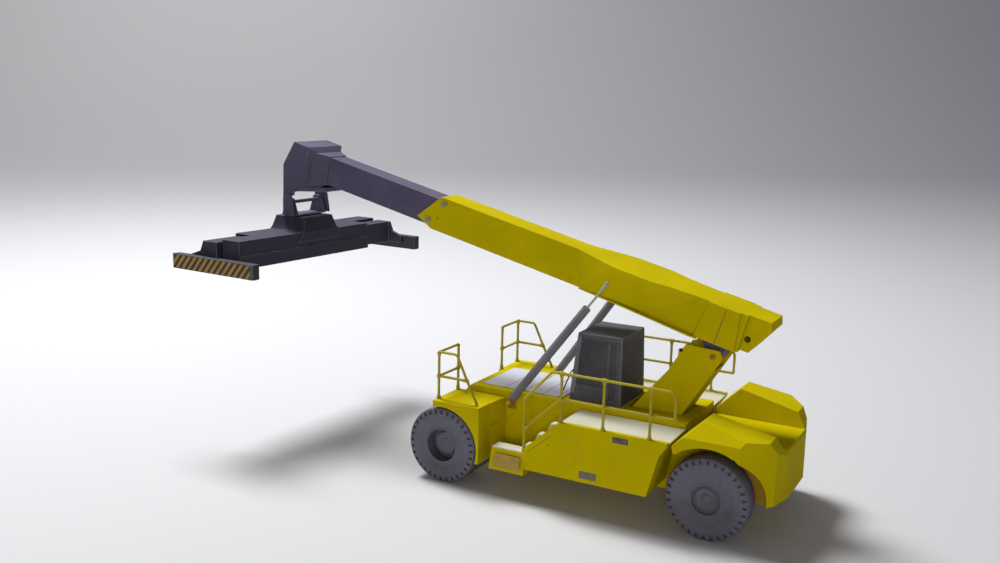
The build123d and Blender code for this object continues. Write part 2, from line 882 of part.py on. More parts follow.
arm_width = tube_width - 1.5 * card - 2 * running_clearance
arm_height = sleeve_height - 2 * card - 2 * running_clearance
arm_end = spreader_length / 2 - beam_width
for side_name, side in SIDES:
    arm_x = side * tube_width / 2
    arm_back = side * (card + running_clearance - sleeve_long)
    arm_low = sleeve_bottom_z + card + running_clearance
    arm_high = arm_low + arm_height
    with BuildPart() as arm:
        with BuildSketch(spreader_plane(arm_low)):
            with Locations((arm_x, (arm_back + side * arm_end) / 2)):
                Rectangle(arm_width, abs(side * arm_end - arm_back))
        extrude(amount=arm_height)
        with BuildSketch(spreader_section(side * arm_end)):
            edge_x = -arm_x - side * arm_width / 2
            outline(
                (edge_x + side * 0.6, arm_high),
                (edge_x, arm_high),
                (edge_x - side * 0.25 * gusset_flare, arm_high - 0.45 * arm_height),
                (edge_x - side * gusset_flare, beam_bottom_z + beam_height),
                (edge_x - side * gusset_flare, arm_low),
                (edge_x + side * 0.6, arm_low),
            )
        extrude(amount=-side * gusset_depth)
    keep(arm, f"spreader_arm_{side_name}")
    with BuildPart() as beam:
        with BuildSketch(spreader_plane(beam_bottom_z)):
            with Locations((0, side * (spreader_length - beam_width) / 2)):
                Rectangle(beam_length, beam_width)
        extrude(amount=beam_height)
    keep(beam, f"end_beam_{side_name}")

# Lift cylinders: a tube with a round foot on the frame's pin, and a wire rod with an eye
for side_name, side in SIDES:
    foot = Vector(rear_x + ram_foot_x, side * ram_foot_y, ram_foot_z)
    eye = Vector(rear_x + ram_eye_x, side * ram_eye_y, ram_eye_z)
    line = (eye - foot).normalized()
    reach = (eye - foot).length
    with BuildPart() as tube:
        with BuildSketch(Plane(origin=foot, z_dir=line)):
            Circle(ram_tube_radius)
        extrude(amount=ram_tube_length)
        with Locations(foot):
            Cylinder(ram_foot_radius, ram_foot_width, rotation=(90, 0, 0))
            Cylinder(
                wire_radius + wire_clearance,
                4 * ram_foot_radius,
                rotation=(90, 0, 0),
                mode=Mode.SUBTRACT,
            )
        with BuildSketch(Plane(origin=foot + line * ram_foot_radius, z_dir=line)):
            RegularPolygon(ram_rod_radius + wire_clearance, 8)
        extrude(amount=ram_tube_length, mode=Mode.SUBTRACT)
    keep(tube, f"lift_tube_{side_name}")
    with BuildPart() as rod:
        with BuildSketch(Plane(origin=eye, z_dir=-line)):
            RegularPolygon(ram_rod_radius, 8)
        extrude(amount=ram_rod_length)
        with Locations(eye):
            Cylinder(ram_eye_radius, 2 * ram_rod_radius, rotation=(90, 0, 0))
    keep(rod, f"lift_rod_{side_name}")

# Railings of bent wire. Each post of the side rail stands on the rim of its side box.
post_rows = (13.3, 24.6, 35.3)
for side_name, side in SIDES:
    rail_line = side * rail_y
    rim_z = walkway_z + rim_rise
    with BuildPart() as side_rail:
        bent_wire(
            [
                (rear_x + rail_post_x, rail_line, landing_z),
                (rear_x + rail_post_x, rail_line, rail_knee_z),
                (rear_x + rail_knee_x, rail_line, rail_top_z),
                (rear_x + rail_rear_x + 1.2, rail_line, rail_top_z),
                (rear_x + rail_rear_x, rail_line, rail_top_z - 1.2),
                (rear_x + rail_rear_x, rail_line, rail_mid_z),
            ],
            rail_radius,
        )
        bent_wire(
            [
                (rear_x + rail_rear_x, rail_line, rail_mid_z),
                (rear_x + post_rows[-1], rail_line, rail_mid_z),
                (rear_x + rail_post_x, rail_line, rail_low_z),
            ],
            0.9 * rail_radius,
        )
        for post_x in post_rows:
            bent_wire(
                [(rear_x + post_x, rail_line, rim_z), (rear_x + post_x, rail_line, rail_top_z)],
                0.95 * rail_radius,
            )
    keep(side_rail, f"side_rail_{side_name}")

    front_top = fender_top_z + front_rail_height
    front_mid = fender_top_z + front_rail_mid
    outer_line = side * front_rail_outer_y
    inner_line = side * front_rail_inner_y
    with BuildPart() as front_rail:
        bent_wire(
            [
                (rear_x + front_rail_x, inner_line, fender_top_z),
                (rear_x + front_rail_x, inner_line, front_top),
                (rear_x + front_rail_x, outer_line, front_top),
                (rear_x + front_rail_x - 5.2, outer_line, front_top),
                (rear_x + front_rail_x - 8.2, outer_line, front_mid),
                (rear_x + fender_foot_x + front_rail_foot, outer_line, fender_top_z),
            ],
            rail_radius,
        )
        bent_wire(
            [
                (rear_x + front_rail_x, inner_line, front_mid),
                (rear_x + front_rail_x, outer_line, front_mid),
                (rear_x + front_rail_x - 8.2, outer_line, front_mid),
            ],
            0.9 * rail_radius,
        )
        bent_wire(
            [
                (rear_x + front_rail_x, outer_line, fender_top_z),
                (rear_x + front_rail_x, outer_line, front_top),
            ],
            0.95 * rail_radius,
        )
    keep(front_rail, f"front_rail_{side_name}")

print("rear axle x", rear_x)
print("pin x z", spreader_x, hanger_pin_z)
print("cylinder reach", reach)
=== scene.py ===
import json
import math

import bpy
from mathutils import Matrix, Vector

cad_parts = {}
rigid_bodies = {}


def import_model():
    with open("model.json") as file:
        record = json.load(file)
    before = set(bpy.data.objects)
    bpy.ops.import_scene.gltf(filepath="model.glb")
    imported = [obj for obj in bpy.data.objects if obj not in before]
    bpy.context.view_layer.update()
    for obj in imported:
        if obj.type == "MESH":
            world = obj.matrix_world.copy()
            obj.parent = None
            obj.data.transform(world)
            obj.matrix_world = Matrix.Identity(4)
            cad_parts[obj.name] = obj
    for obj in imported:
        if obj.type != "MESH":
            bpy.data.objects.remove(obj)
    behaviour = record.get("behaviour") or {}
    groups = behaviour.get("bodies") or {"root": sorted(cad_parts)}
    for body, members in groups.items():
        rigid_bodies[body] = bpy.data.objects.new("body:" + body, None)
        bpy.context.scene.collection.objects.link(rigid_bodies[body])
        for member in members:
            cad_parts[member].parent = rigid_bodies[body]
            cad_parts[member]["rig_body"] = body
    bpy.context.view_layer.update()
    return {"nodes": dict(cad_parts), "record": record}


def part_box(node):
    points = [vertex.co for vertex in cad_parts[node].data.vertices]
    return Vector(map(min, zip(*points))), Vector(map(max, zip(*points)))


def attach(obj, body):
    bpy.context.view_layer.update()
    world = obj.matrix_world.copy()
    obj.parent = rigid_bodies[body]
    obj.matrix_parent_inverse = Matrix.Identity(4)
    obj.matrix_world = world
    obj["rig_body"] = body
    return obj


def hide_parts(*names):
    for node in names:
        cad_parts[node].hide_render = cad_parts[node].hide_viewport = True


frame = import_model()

nodes = frame["nodes"]
slots = {part["node"]: part["material_slot"] for part in frame["record"]["subparts"]}
SIDES = (("left", 1), ("right", -1))


def middle(name):
    low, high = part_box(name)
    return (low + high) / 2


rear = middle("rear_axle")


def spot(x, y, z):
    """A place from its millimetres ahead of the rear axle, left of the middle and above the floor."""
    return Vector((rear.x + x / 1000, y / 1000, z / 1000))


# The boom rises from its pivot, and the spreader hangs a little turned
pivot_ahead = 5.2
pivot_up = 37.9
boom_rise = math.radians(13.9)
spreader_turn = math.radians(-3.5)
pivot = spot(pivot_ahead, 0, pivot_up)
along_boom = Vector((math.cos(boom_rise), 0, math.sin(boom_rise)))
above_boom = Vector((-math.sin(boom_rise), 0, math.cos(boom_rise)))
along_beam = Vector((math.cos(spreader_turn), math.sin(spreader_turn), 0))
along_spreader = Vector((-math.sin(spreader_turn), math.cos(spreader_turn), 0))
spreader_middle = Vector((middle("hanger").x, 0, 0))

# Upright faces, in millimetres out from the middle
frame_face = 10.72
box_face = 23.0
tower_face = 5.2
head_face = 7.22

# Stations of the left walkway and its rail, which the right ones mirror
walkway_front = 35.5
walkway_posts = (13.3, 24.6, 35.3)
ledge_inner = 19.4
ledge_outer = 22.9


def boom_spot(s, y, n):
    """A place from its millimetres along the boom from the pivot, to the left, and above the boom's line."""
    return pivot + s / 1000 * along_boom + Vector((0, y / 1000, 0)) + n / 1000 * above_boom


# Camera, fitted to some thirty points of the machine, with its angles in radians
yaw, pitch, roll = 0.4999, 0.1870, 0.0249
camera_place = Vector((rear.x - 0.05934, 0.22379, 0.09699))
sensor = 36.0
focal_share = 0.99476
aim = Vector((math.sin(yaw) * math.cos(pitch), -math.cos(yaw) * math.cos(pitch), -math.sin(pitch)))
across = aim.cross(Vector((0, 0, 1))).normalized()
upright = across.cross(aim)
right = math.cos(roll) * across + math.sin(roll) * upright
top = -math.sin(roll) * across + math.cos(roll) * upright
bpy.context.scene.view_settings.view_transform = "Standard"
lens = bpy.data.cameras.new("photo_view")
lens.sensor_width = sensor
lens.lens = sensor * focal_share
lens.shift_x = -0.0062
lens.shift_y = -0.0016
lens.clip_start = 0.01
camera = bpy.data.objects.new("photo_view", lens)
bpy.context.scene.collection.objects.link(camera)
camera.matrix_world = Matrix((
    (right.x, top.x, -aim.x, camera_place.x),
    (right.y, top.y, -aim.y, camera_place.y),
    (right.z, top.z, -aim.z, camera_place.z),
    (0, 0, 0, 1),
))
bpy.context.scene.camera = camera


def soft_light(name, place, target, size, power, colour):
    """A round lamp of a given size in metres, turned to its target."""
    lamp = bpy.data.lights.new(name, "AREA")
    lamp.shape = "DISK"
    lamp.size = size
    lamp.energy = power
    lamp.color = colour
    holder = bpy.data.objects.new(name, lamp)
    bpy.context.scene.collection.objects.link(holder)
    line = Vector(target) - Vector(place)
    holder.rotation_euler = line.to_track_quat("-Z", "Y").to_euler()
    holder.location = place
    holder.visible_camera = False


soft_light("window_softbox", (0.28, -0.08, 0.58), (0, 0, 0.02), 0.22, 4.6, (0.98, 0.99, 1.0))
soft_light("front_fill", (-0.50, 1.30, 0.28), (0, 0, 0.03), 0.40, 4.3, (1.0, 0.93, 0.84))
soft_light("backdrop_light", (1.00, -0.30, 1.30), (0.60, -1.60, 0.75), 0.8, 13.0, (0.97, 0.98, 1.0))
world = bpy.data.worlds.new("studio_air")
world.use_nodes = True
world.node_tree.nodes["Background"].inputs["Color"].default_value = (0.97, 0.95, 1.0, 1)
world.node_tree.nodes["Background"].inputs["Strength"].default_value = 0.13
bpy.context.scene.world = world


# Effects that several finishes share
def new_group(name, inputs, outputs):
    group = bpy.data.node_groups.new(name, "ShaderNodeTree")
    kinds = {"colour": "NodeSocketColor", "value": "NodeSocketFloat"}
    for label, kind, start in inputs:
        socket = group.interface.new_socket(label, in_out="INPUT", socket_type=kinds[kind])
        if start is not None:
            socket.default_value = start
    for label, kind in outputs:
        group.interface.new_socket(label, in_out="OUTPUT", socket_type=kinds[kind])
    return group, group.nodes.new("NodeGroupInput"), group.nodes.new("NodeGroupOutput")


def noise(tree, vector, scale, detail):
    cloud = tree.nodes.new("ShaderNodeTexNoise")
    cloud.inputs["Scale"].default_value = scale
    cloud.inputs["Detail"].default_value = detail
    tree.links.new(vector, cloud.inputs["Vector"])
    return cloud.outputs["Fac"]


def spread(tree, value, low, high, to_low=0.0, to_high=1.0):
    """A value's range from low to high, stretched to another range and held at its ends."""
    step = tree.nodes.new("ShaderNodeMapRange")
    for label, number in (("From Min", low), ("From Max", high), ("To Min", to_low), ("To Max", to_high)):
        step.inputs[label].default_value = number
    tree.links.new(value, step.inputs["Value"])
    return step.outputs["Result"]


def reckon(tree, operation, *values):
    step = tree.nodes.new("ShaderNodeMath")
    step.operation = operation
    for place, value in enumerate(values):
        if isinstance(value, (int, float)):
            step.inputs[place].default_value = value
        else:
            tree.links.new(value, step.inputs[place])
    return step.outputs[0]


def mixed(tree, factor, below, above, blend="MIX"):
    """Two colours mixed. The numbers 6 and 7 are the colour inputs of the mix node."""
    step = tree.nodes.new("ShaderNodeMix")
    step.data_type = "RGBA"
    step.blend_type = blend
    for place, value in (("Factor", factor), (6, below), (7, above)):
        if isinstance(value, (int, float)):
            step.inputs[place].default_value = value
        elif isinstance(value, tuple):
            step.inputs[place].default_value = (*value, 1)
        else:
            tree.links.new(value, step.inputs[place])
    return step.outputs[2]


def inked_card_group():
    """Ink brushed on card: cloudy tone, fibres, pale rubbed edges, and painted shade with glue and grime in
    the corners.
    """
    group, enter, leave = new_group(
        "inked_card",
        (("Ink", "colour", None), ("Core", "colour", None), ("Shade and grime colour", "colour", None),
         ("Mottle", "value", 0.1), ("Wear", "value", 0.5), ("Shade and grime", "value", 0.5), ("Fibre", "value", 1.0)),
        (("Colour", "colour"), ("Rough", "value"), ("Height", "value")),
    )
    place = group.nodes.new("ShaderNodeTexCoord").outputs["Object"]
    # Cloudy ink with fine streaks
    cloud = noise(group, place, 85, 6)
    streak = noise(group, place, 900, 3)
    swing = spread(group, cloud, 0.3, 0.7, -1, 1)
    fine = spread(group, streak, 0.3, 0.7, -0.35, 0.35)
    tone = reckon(group, "MULTIPLY_ADD", reckon(group, "ADD", swing, fine), enter.outputs["Mottle"], 1.0)
    brushed = mixed(group, 1.0, enter.outputs["Ink"], tone, "MULTIPLY")
    # Edges, where the rounded normal leaves the flat one, are rubbed down to the core
    rounded = group.nodes.new("ShaderNodeBevel")
    rounded.samples = 4
    rounded.inputs["Radius"].default_value = 0.00034
    flat = group.nodes.new("ShaderNodeNewGeometry")
    facing = group.nodes.new("ShaderNodeVectorMath")
    facing.operation = "DOT_PRODUCT"
    group.links.new(rounded.outputs["Normal"], facing.inputs[0])
    group.links.new(flat.outputs["Normal"], facing.inputs[1])
    edge = spread(group, facing.outputs["Value"], 0.985, 0.86)
    scuffed = spread(group, noise(group, place, 420, 5), 0.42, 0.58)
    rubbed = reckon(group, "MULTIPLY", reckon(group, "MULTIPLY", edge, scuffed), enter.outputs["Wear"])
    # Painted shade: ambient occlusion darkens the nooks, for the shade in them as well as glue and grime
    shade = group.nodes.new("ShaderNodeAmbientOcclusion")
    shade.samples = 4
    shade.only_local = False
    shade.inputs["Distance"].default_value = 0.0014
    nook = spread(group, shade.outputs["AO"], 0.62, 0.30)
    shade_and_grime_mask = reckon(group, "MULTIPLY", reckon(group, "MULTIPLY", nook, enter.outputs["Shade and grime"]),
                   spread(group, cloud, 0.35, 0.6, 0.4, 1))
    shaded_and_grimed = mixed(group, shade_and_grime_mask, brushed, enter.outputs["Shade and grime colour"])
    group.links.new(mixed(group, rubbed, shaded_and_grimed, enter.outputs["Core"]), leave.inputs["Colour"])
    group.links.new(spread(group, cloud, 0.2, 0.8, 0.58, 0.82), leave.inputs["Rough"])
    fibres = reckon(group, "ADD", noise(group, place, 2400, 3), reckon(group, "MULTIPLY", cloud, 1.6))
    group.links.new(reckon(group, "MULTIPLY", fibres, enter.outputs["Fibre"]), leave.inputs["Height"])
    return group


def slanted_stripes_group():
    """Slanting warning stripes with a plain margin, on coordinates of the striped face in millimetres."""
    group, enter, leave = new_group(
        "slanted_stripes",
        (("Along", "value", 0.0), ("Up", "value", 0.0), ("Half length", "value", 15.2),
         ("Height", "value", 4.0), ("Pitch", "value", 2.2), ("Plain end", "value", 1.1),
         ("Light", "colour", None), ("Dark", "colour", None), ("Margin", "colour", None)),
        (("Colour", "colour"),),
    )
    along = enter.outputs["Along"]
    up = enter.outputs["Up"]
    slid = reckon(group, "ADD", along, reckon(group, "MULTIPLY", up, 0.85))
    phase = reckon(group, "FRACT", reckon(group, "DIVIDE", slid, enter.outputs["Pitch"]))
    light = reckon(group, "MULTIPLY", spread(group, phase, 0.02, 0.06), spread(group, phase, 0.56, 0.52))
    painted = mixed(group, light, enter.outputs["Dark"], enter.outputs["Light"])
    inset = reckon(group, "SUBTRACT", enter.outputs["Half length"], reckon(group, "ABSOLUTE", along))
    foot = reckon(group, "MINIMUM", up, reckon(group, "SUBTRACT", enter.outputs["Height"], up))
    inside = reckon(group, "MULTIPLY", spread(group, inset, 0.18, 0.26), spread(group, foot, 0.20, 0.28))
    start = reckon(group, "ADD", along, enter.outputs["Half length"])
    plain = reckon(group, "SUBTRACT", start, enter.outputs["Plain end"])
    striped = reckon(group, "MULTIPLY", inside, spread(group, plain, -0.05, 0.05))
    group.links.new(mixed(group, striped, enter.outputs["Margin"], painted), leave.inputs["Colour"])
    return group


def pen_line_group():
    """A thin pen line across a sheet, soft at its sides, where one coordinate passes a given place."""
    group, enter, leave = new_group(
        "pen_line",
        (("Place", "value", 0.0), ("At", "value", 0.0), ("Width", "value", 0.15)),
        (("Mask", "value"),),
    )
    gap = reckon(group, "ABSOLUTE", reckon(group, "SUBTRACT", enter.outputs["Place"], enter.outputs["At"]))
    half = reckon(group, "MULTIPLY", enter.outputs["Width"], 0.5)
    group.links.new(reckon(group, "LESS_THAN", gap, half), leave.inputs["Mask"])
    return group


inked_card = inked_card_group()
slanted_stripes = slanted_stripes_group()
pen_line = pen_line_group()


# The corner colour and the strength after the wear give the nooks painted shade, with glue and grime
def inked_finish(name, ink, core, corner, mottle=0.1, wear=0.5, shade_and_grime=0.5, fibre=1.0, specular=0.3):
    """A finish of inked card or painted wire. Gives the material, its shader and the card effect."""
    finish = bpy.data.materials.new(name)
    finish.use_nodes = True
    tree = finish.node_tree
    shader = tree.nodes["Principled BSDF"]
    shader.inputs["Specular IOR Level"].default_value = specular
    paint = tree.nodes.new("ShaderNodeGroup")
    paint.node_tree = inked_card
    for label, colour in (("Ink", ink), ("Core", core), ("Shade and grime colour", corner)):
        paint.inputs[label].default_value = (*colour, 1)
    for label, value in (("Mottle", mottle), ("Wear", wear), ("Shade and grime", shade_and_grime), ("Fibre", fibre)):
        paint.inputs[label].default_value = value
    bump = tree.nodes.new("ShaderNodeBump")
    bump.inputs["Strength"].default_value = 0.3
    bump.inputs["Distance"].default_value = 0.00006
    tree.links.new(paint.outputs["Colour"], shader.inputs["Base Color"])
    tree.links.new(paint.outputs["Rough"], shader.inputs["Roughness"])
    tree.links.new(paint.outputs["Height"], bump.inputs["Height"])
    tree.links.new(bump.outputs["Normal"], shader.inputs["Normal"])
    return finish, shader, paint


def card_finish(*recipe, **more):
    return inked_finish(*recipe, **more)[0]


def face_millimetres(tree, origin, direction):
    """How far a point lies from origin along direction, in millimetres, as a node output."""
    place = tree.nodes.new("ShaderNodeTexCoord").outputs["Object"]
    shift = tree.nodes.new("ShaderNodeVectorMath")
    shift.operation = "SUBTRACT"
    shift.inputs[1].default_value = origin
    tree.links.new(place, shift.inputs[0])
    measure = tree.nodes.new("ShaderNodeVectorMath")
    measure.operation = "DOT_PRODUCT"
    measure.inputs[1].default_value = direction
    tree.links.new(shift.outputs["Vector"], measure.inputs[0])
    return reckon(tree, "MULTIPLY", measure.outputs["Value"], 1000)


# Each finish has its ink, the card's core at rubbed edges and the colour of the painted shade and grime in
# its corners, then the strength of the mottle, the wear, that painted shade and grime, and the fibres, and
# the shine
yellow = card_finish(
    "yellow_card", (0.53, 0.432, 0.0005), (0.62, 0.54, 0.03), (0.090, 0.060, 0.002),
    0.07, 0.55, 0.85, specular=0.02)
white = card_finish(
    "white_card", (0.58, 0.56, 0.44), (0.40, 0.36, 0.05), (0.22, 0.19, 0.05), 0.07, 0.9, 0.6)
cab_grey = card_finish(
    "cab_card", (0.090, 0.091, 0.112), (0.20, 0.20, 0.205), (0.012, 0.012, 0.013), 0.22, 0.55, 0.7)
cab_glass = card_finish(
    "cab_window_ink", (0.058, 0.059, 0.076), (0.10, 0.10, 0.11), (0.010, 0.010, 0.011), 0.3, 0.3, 0.6,
    specular=0.45)
# A darker copy of the slate ink: painted shade for the spreader's parts, which hang in shadow
shaded_slate = card_finish(
    "shaded_slate_card", (0.038, 0.033, 0.060), (0.24, 0.22, 0.27), (0.007, 0.006, 0.010), 0.2, 0.7, 0.8)
slate_edge = card_finish(
    "worn_slate_edge", (0.13, 0.12, 0.16), (0.26, 0.24, 0.28), (0.05, 0.045, 0.06), 0.65, 0.4, 0.4)
yellow_edge = card_finish(
    "worn_yellow_edge", (0.56, 0.47, 0.010), (0.62, 0.54, 0.05), (0.25, 0.17, 0.004),
    0.45, 0.4, 0.4, specular=0.02)
# Lighter grey for the cab's rounded edges, and a painted highlight on its front posts
cab_trim_and_highlight = card_finish(
    "cab_trim_and_highlight_card", (0.185, 0.187, 0.225), (0.26, 0.26, 0.28), (0.03, 0.03, 0.035), 0.22, 0.5, 0.5)
slate = card_finish(
    "slate_card", (0.086, 0.077, 0.140), (0.30, 0.28, 0.33), (0.010, 0.009, 0.014), 0.18, 0.6, 0.8)
tyre_grey = card_finish(
    "tyre_card", (0.118, 0.115, 0.148), (0.17, 0.165, 0.19), (0.016, 0.015, 0.018), 0.22, 0.4, 0.8)
ram_grey = card_finish(
    "ram_card", (0.165, 0.162, 0.185), (0.20, 0.20, 0.21), (0.02, 0.02, 0.022), 0.2, 0.3, 0.4)
bare_wire = card_finish(
    "bare_wire", (0.36, 0.34, 0.26), (0.5, 0.48, 0.4), (0.1, 0.09, 0.06), 0.25, 0.0, 0.3, 0.4, 0.6)
yellow_wire = card_finish(
    "painted_wire", (0.38, 0.32, 0.002), (0.46, 0.40, 0.03), (0.10, 0.075, 0.003), 0.16, 0.0, 0.5, 0.5, 0.5)
pin_grey = card_finish(
    "pin_metal", (0.23, 0.22, 0.185), (0.4, 0.4, 0.38), (0.04, 0.035, 0.03), 0.3, 0.4, 0.4, 0.4, 0.5)
rust = card_finish(
    "rusty_pin", (0.33, 0.13, 0.012), (0.40, 0.22, 0.03), (0.10, 0.04, 0.006), 0.4, 0.4, 0.4)
tan = card_finish(
    "bare_tan_card", (0.40, 0.27, 0.055), (0.45, 0.36, 0.10), (0.15, 0.10, 0.01), 0.12, 0.3, 0.5)
black = card_finish(
    "black_ink", (0.010, 0.009, 0.009), (0.05, 0.05, 0.05), (0.004, 0.004, 0.004), 0.3, 0.2, 0.2)
vent_ink = card_finish(
    "vent_ink", (0.055, 0.048, 0.045), (0.16, 0.15, 0.14), (0.01, 0.01, 0.01), 0.25, 0.5, 0.5)
patch_ink = card_finish(
    "grey_label_blank", (0.155, 0.145, 0.125), (0.2, 0.19, 0.17), (0.05, 0.05, 0.04), 0.14, 0.3, 0.3)
pen_brown = card_finish(
    "brown_pen", (0.15, 0.085, 0.004), (0.2, 0.13, 0.01), (0.05, 0.03, 0.002), 0.3, 0.1, 0.1)
# Orange-brown ink of the arch liners, also laid as painted shade in the brackets' creases
liner_and_crease_shade = card_finish(
    "arch_liner_and_crease_shade_ink", (0.33, 0.20, 0.008), (0.40, 0.30, 0.05), (0.07, 0.04, 0.003), 0.15, 0.3, 0.7)


# Pen lines across the deck sheet: millimetres ahead of the rear axle, and width
sheet_lines = ((57.4, 0.16), (51.8, 0.20), (46.9, 0.18), (42.6, 0.14))


def deck_finish():
    """Light grey sheet on the deck, with the pen lines that mark its plates."""
    finish, shader, paint = inked_finish(
        "grey_sheet", (0.56, 0.57, 0.64), (0.57, 0.57, 0.60), (0.12, 0.12, 0.13), 0.06, 0.3, 0.4)
    tree = finish.node_tree
    ahead = face_millimetres(tree, spot(0, 0, 0), (1, 0, 0))
    ink = paint.outputs["Colour"]
    for at, width in sheet_lines:
        line = tree.nodes.new("ShaderNodeGroup")
        line.node_tree = pen_line
        line.inputs["At"].default_value = at
        line.inputs["Width"].default_value = width
        tree.links.new(ahead, line.inputs["Place"])
        ink = mixed(tree, line.outputs["Mask"], ink, (0.045, 0.044, 0.050))
    tree.links.new(ink, shader.inputs["Base Color"])
    return finish


def beam_finish(side_name, side):
    """Slate card, its ink darkened as painted shade like the spreader's, whose outer face carries slanting
    ochre and brown stripes.
    """
    finish, shader, paint = inked_finish(
        f"{side_name}_beam_card", (0.046, 0.042, 0.066), (0.20, 0.18, 0.20), (0.010, 0.009, 0.014),
        0.16, 0.5, 0.5)
    tree = finish.node_tree
    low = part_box(f"end_beam_{side_name}")[0].z
    stripes = tree.nodes.new("ShaderNodeGroup")
    stripes.node_tree = slanted_stripes
    for label, colour in (("Light", (0.36, 0.235, 0.060)), ("Dark", (0.055, 0.036, 0.026)),
                          ("Margin", (0.085, 0.078, 0.072))):
        stripes.inputs[label].default_value = (*colour, 1)
    origin = Vector((spreader_middle.x, 0, low))
    tree.links.new(face_millimetres(tree, origin, side * along_beam), stripes.inputs["Along"])
    tree.links.new(face_millimetres(tree, origin, Vector((0, 0, 1))), stripes.inputs["Up"])
    normal = tree.nodes.new("ShaderNodeNewGeometry").outputs["Normal"]
    outward = tree.nodes.new("ShaderNodeVectorMath")
    outward.operation = "DOT_PRODUCT"
    outward.inputs[1].default_value = side * along_spreader
    tree.links.new(normal, outward.inputs[0])
    face = spread(tree, outward.outputs["Value"], 0.90, 0.95)
    place = tree.nodes.new("ShaderNodeTexCoord").outputs["Object"]
    tone = spread(tree, noise(tree, place, 400, 4), 0.3, 0.7, 0.82, 1.15)
    grain = mixed(tree, 1.0, stripes.outputs["Colour"], tone, "MULTIPLY")
    tree.links.new(mixed(tree, face, paint.outputs["Colour"], grain), shader.inputs["Base Color"])
    return finish


grey_sheet = deck_finish()
beam_cards = {side_name: beam_finish(side_name, side) for side_name, side in SIDES}
finishes = {
    "yellow_card": yellow, "white_card": white, "grey_sheet": grey_sheet, "cab_card": cab_grey,
    "slate_card": slate, "tyre_card": tyre_grey, "ram_card": ram_grey, "hazard_card": slate,
    "wire": bare_wire, "yellow_wire": yellow_wire,
}
# The CAD nodes wear the finishes of their slots, and the two axles stay to be seen
for name, slot in slots.items():
    nodes[name].data.materials.clear()
    nodes[name].data.materials.append(finishes[slot])


# Working with pieces
def clear():
    """Leaves edit mode and selects nothing."""
    if bpy.context.object and bpy.context.object.mode != "OBJECT":
        bpy.ops.object.mode_set(mode="OBJECT")
    bpy.ops.object.select_all(action="DESELECT")


def pick(*pieces):
    clear()
    for piece in pieces:
        piece.select_set(True)
    bpy.context.view_layer.objects.active = pieces[0]


def at_origin(piece):
    pick(piece)
    bpy.ops.object.transform_apply(location=True, rotation=True, scale=True)


def carve(piece, kind, name, **settings):
    """Adds one modifier to a piece and applies it."""
    pick(piece)
    step = piece.modifiers.new(name, kind)
    for label, value in settings.items():
        setattr(step, label, value)
    bpy.ops.object.modifier_apply(modifier=name)


def smooth(piece, angle):
    pick(piece)
    bpy.ops.object.shade_smooth_by_angle(angle=angle)


def finish_piece(piece, name, body, slot, materials, *stands_for):
    """Names a piece, dresses it, rides it on its body and lets it stand for the nodes it replaces."""
    piece.name = name
    piece.data.name = name
    for index, material in enumerate(materials):
        if index < len(piece.data.materials):
            piece.data.materials[index] = material
        else:
            piece.data.materials.append(material)
    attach(piece, body)
    if stands_for:
        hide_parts(*stands_for)


def recalculate(piece):
    """Closes the seams of a piece and turns its faces outward."""
    pick(piece)
    bpy.ops.object.mode_set(mode="EDIT")
    bpy.ops.mesh.select_all(action="SELECT")
    bpy.ops.mesh.remove_doubles(threshold=0.0000008)
    bpy.ops.mesh.normals_make_consistent(inside=False)
    bpy.ops.object.mode_set(mode="OBJECT")


def narrow_steps(piece):
    """The steps are a narrow ledge out at the side, with the frame's wall in view behind it."""
    for cut in (walkway_front + 0.3, walkway_front + 0.5):
        bpy.ops.mesh.select_all(action="SELECT")
        bpy.ops.mesh.bisect(plane_co=spot(cut, 0, 0), plane_no=(1, 0, 0))
    bpy.ops.object.mode_set(mode="OBJECT")
    for vertex in piece.data.vertices:
        ahead, out, up = (vertex.co.x - rear.x) * 1000, abs(vertex.co.y) * 1000, vertex.co.z * 1000
        side = 1 if vertex.co.y > 0 else -1
        at_wall = out < 11 and up > 9
        lowest_step = up < 12.5 and out > 21
        if at_wall and ahead > walkway_front + 0.4:
            vertex.co.y = side * ledge_inner / 1000
        elif lowest_step and piece.name.startswith("walkway"):
            vertex.co.y = side * ledge_outer / 1000
    bpy.ops.object.mode_set(mode="EDIT")
    bpy.ops.mesh.select_all(action="SELECT")


def folded_card(name, edge):
    """A card part whose folds and cut edges are rounded by edge, in metres, and take its second finish."""
    hollow = name == "counterweight" or "fender" in name
    clear()
    mesh = nodes[name].data.copy()
    # The bevel needs a second slot, which finish_piece fills
    mesh.materials.append(yellow_edge)
    piece = bpy.data.objects.new(name + "_card", mesh)
    bpy.context.scene.collection.objects.link(piece)
    pick(piece)
    bpy.ops.object.mode_set(mode="EDIT")
    bpy.ops.mesh.select_all(action="SELECT")
    bpy.ops.mesh.remove_doubles(threshold=0.000001)
    if name.startswith(("walkway", "step_box", "side_box")):
        narrow_steps(piece)
    if not hollow:
        bpy.ops.mesh.dissolve_limited(angle_limit=0.02)
    bpy.ops.object.mode_set(mode="OBJECT")
    carve(piece, "BEVEL", "soft_edges", width=edge, segments=2, limit_method="ANGLE",
          angle_limit=0.45, harden_normals=False, material=1)
    bpy.ops.object.shade_smooth_by_angle(angle=0.09)
    return piece


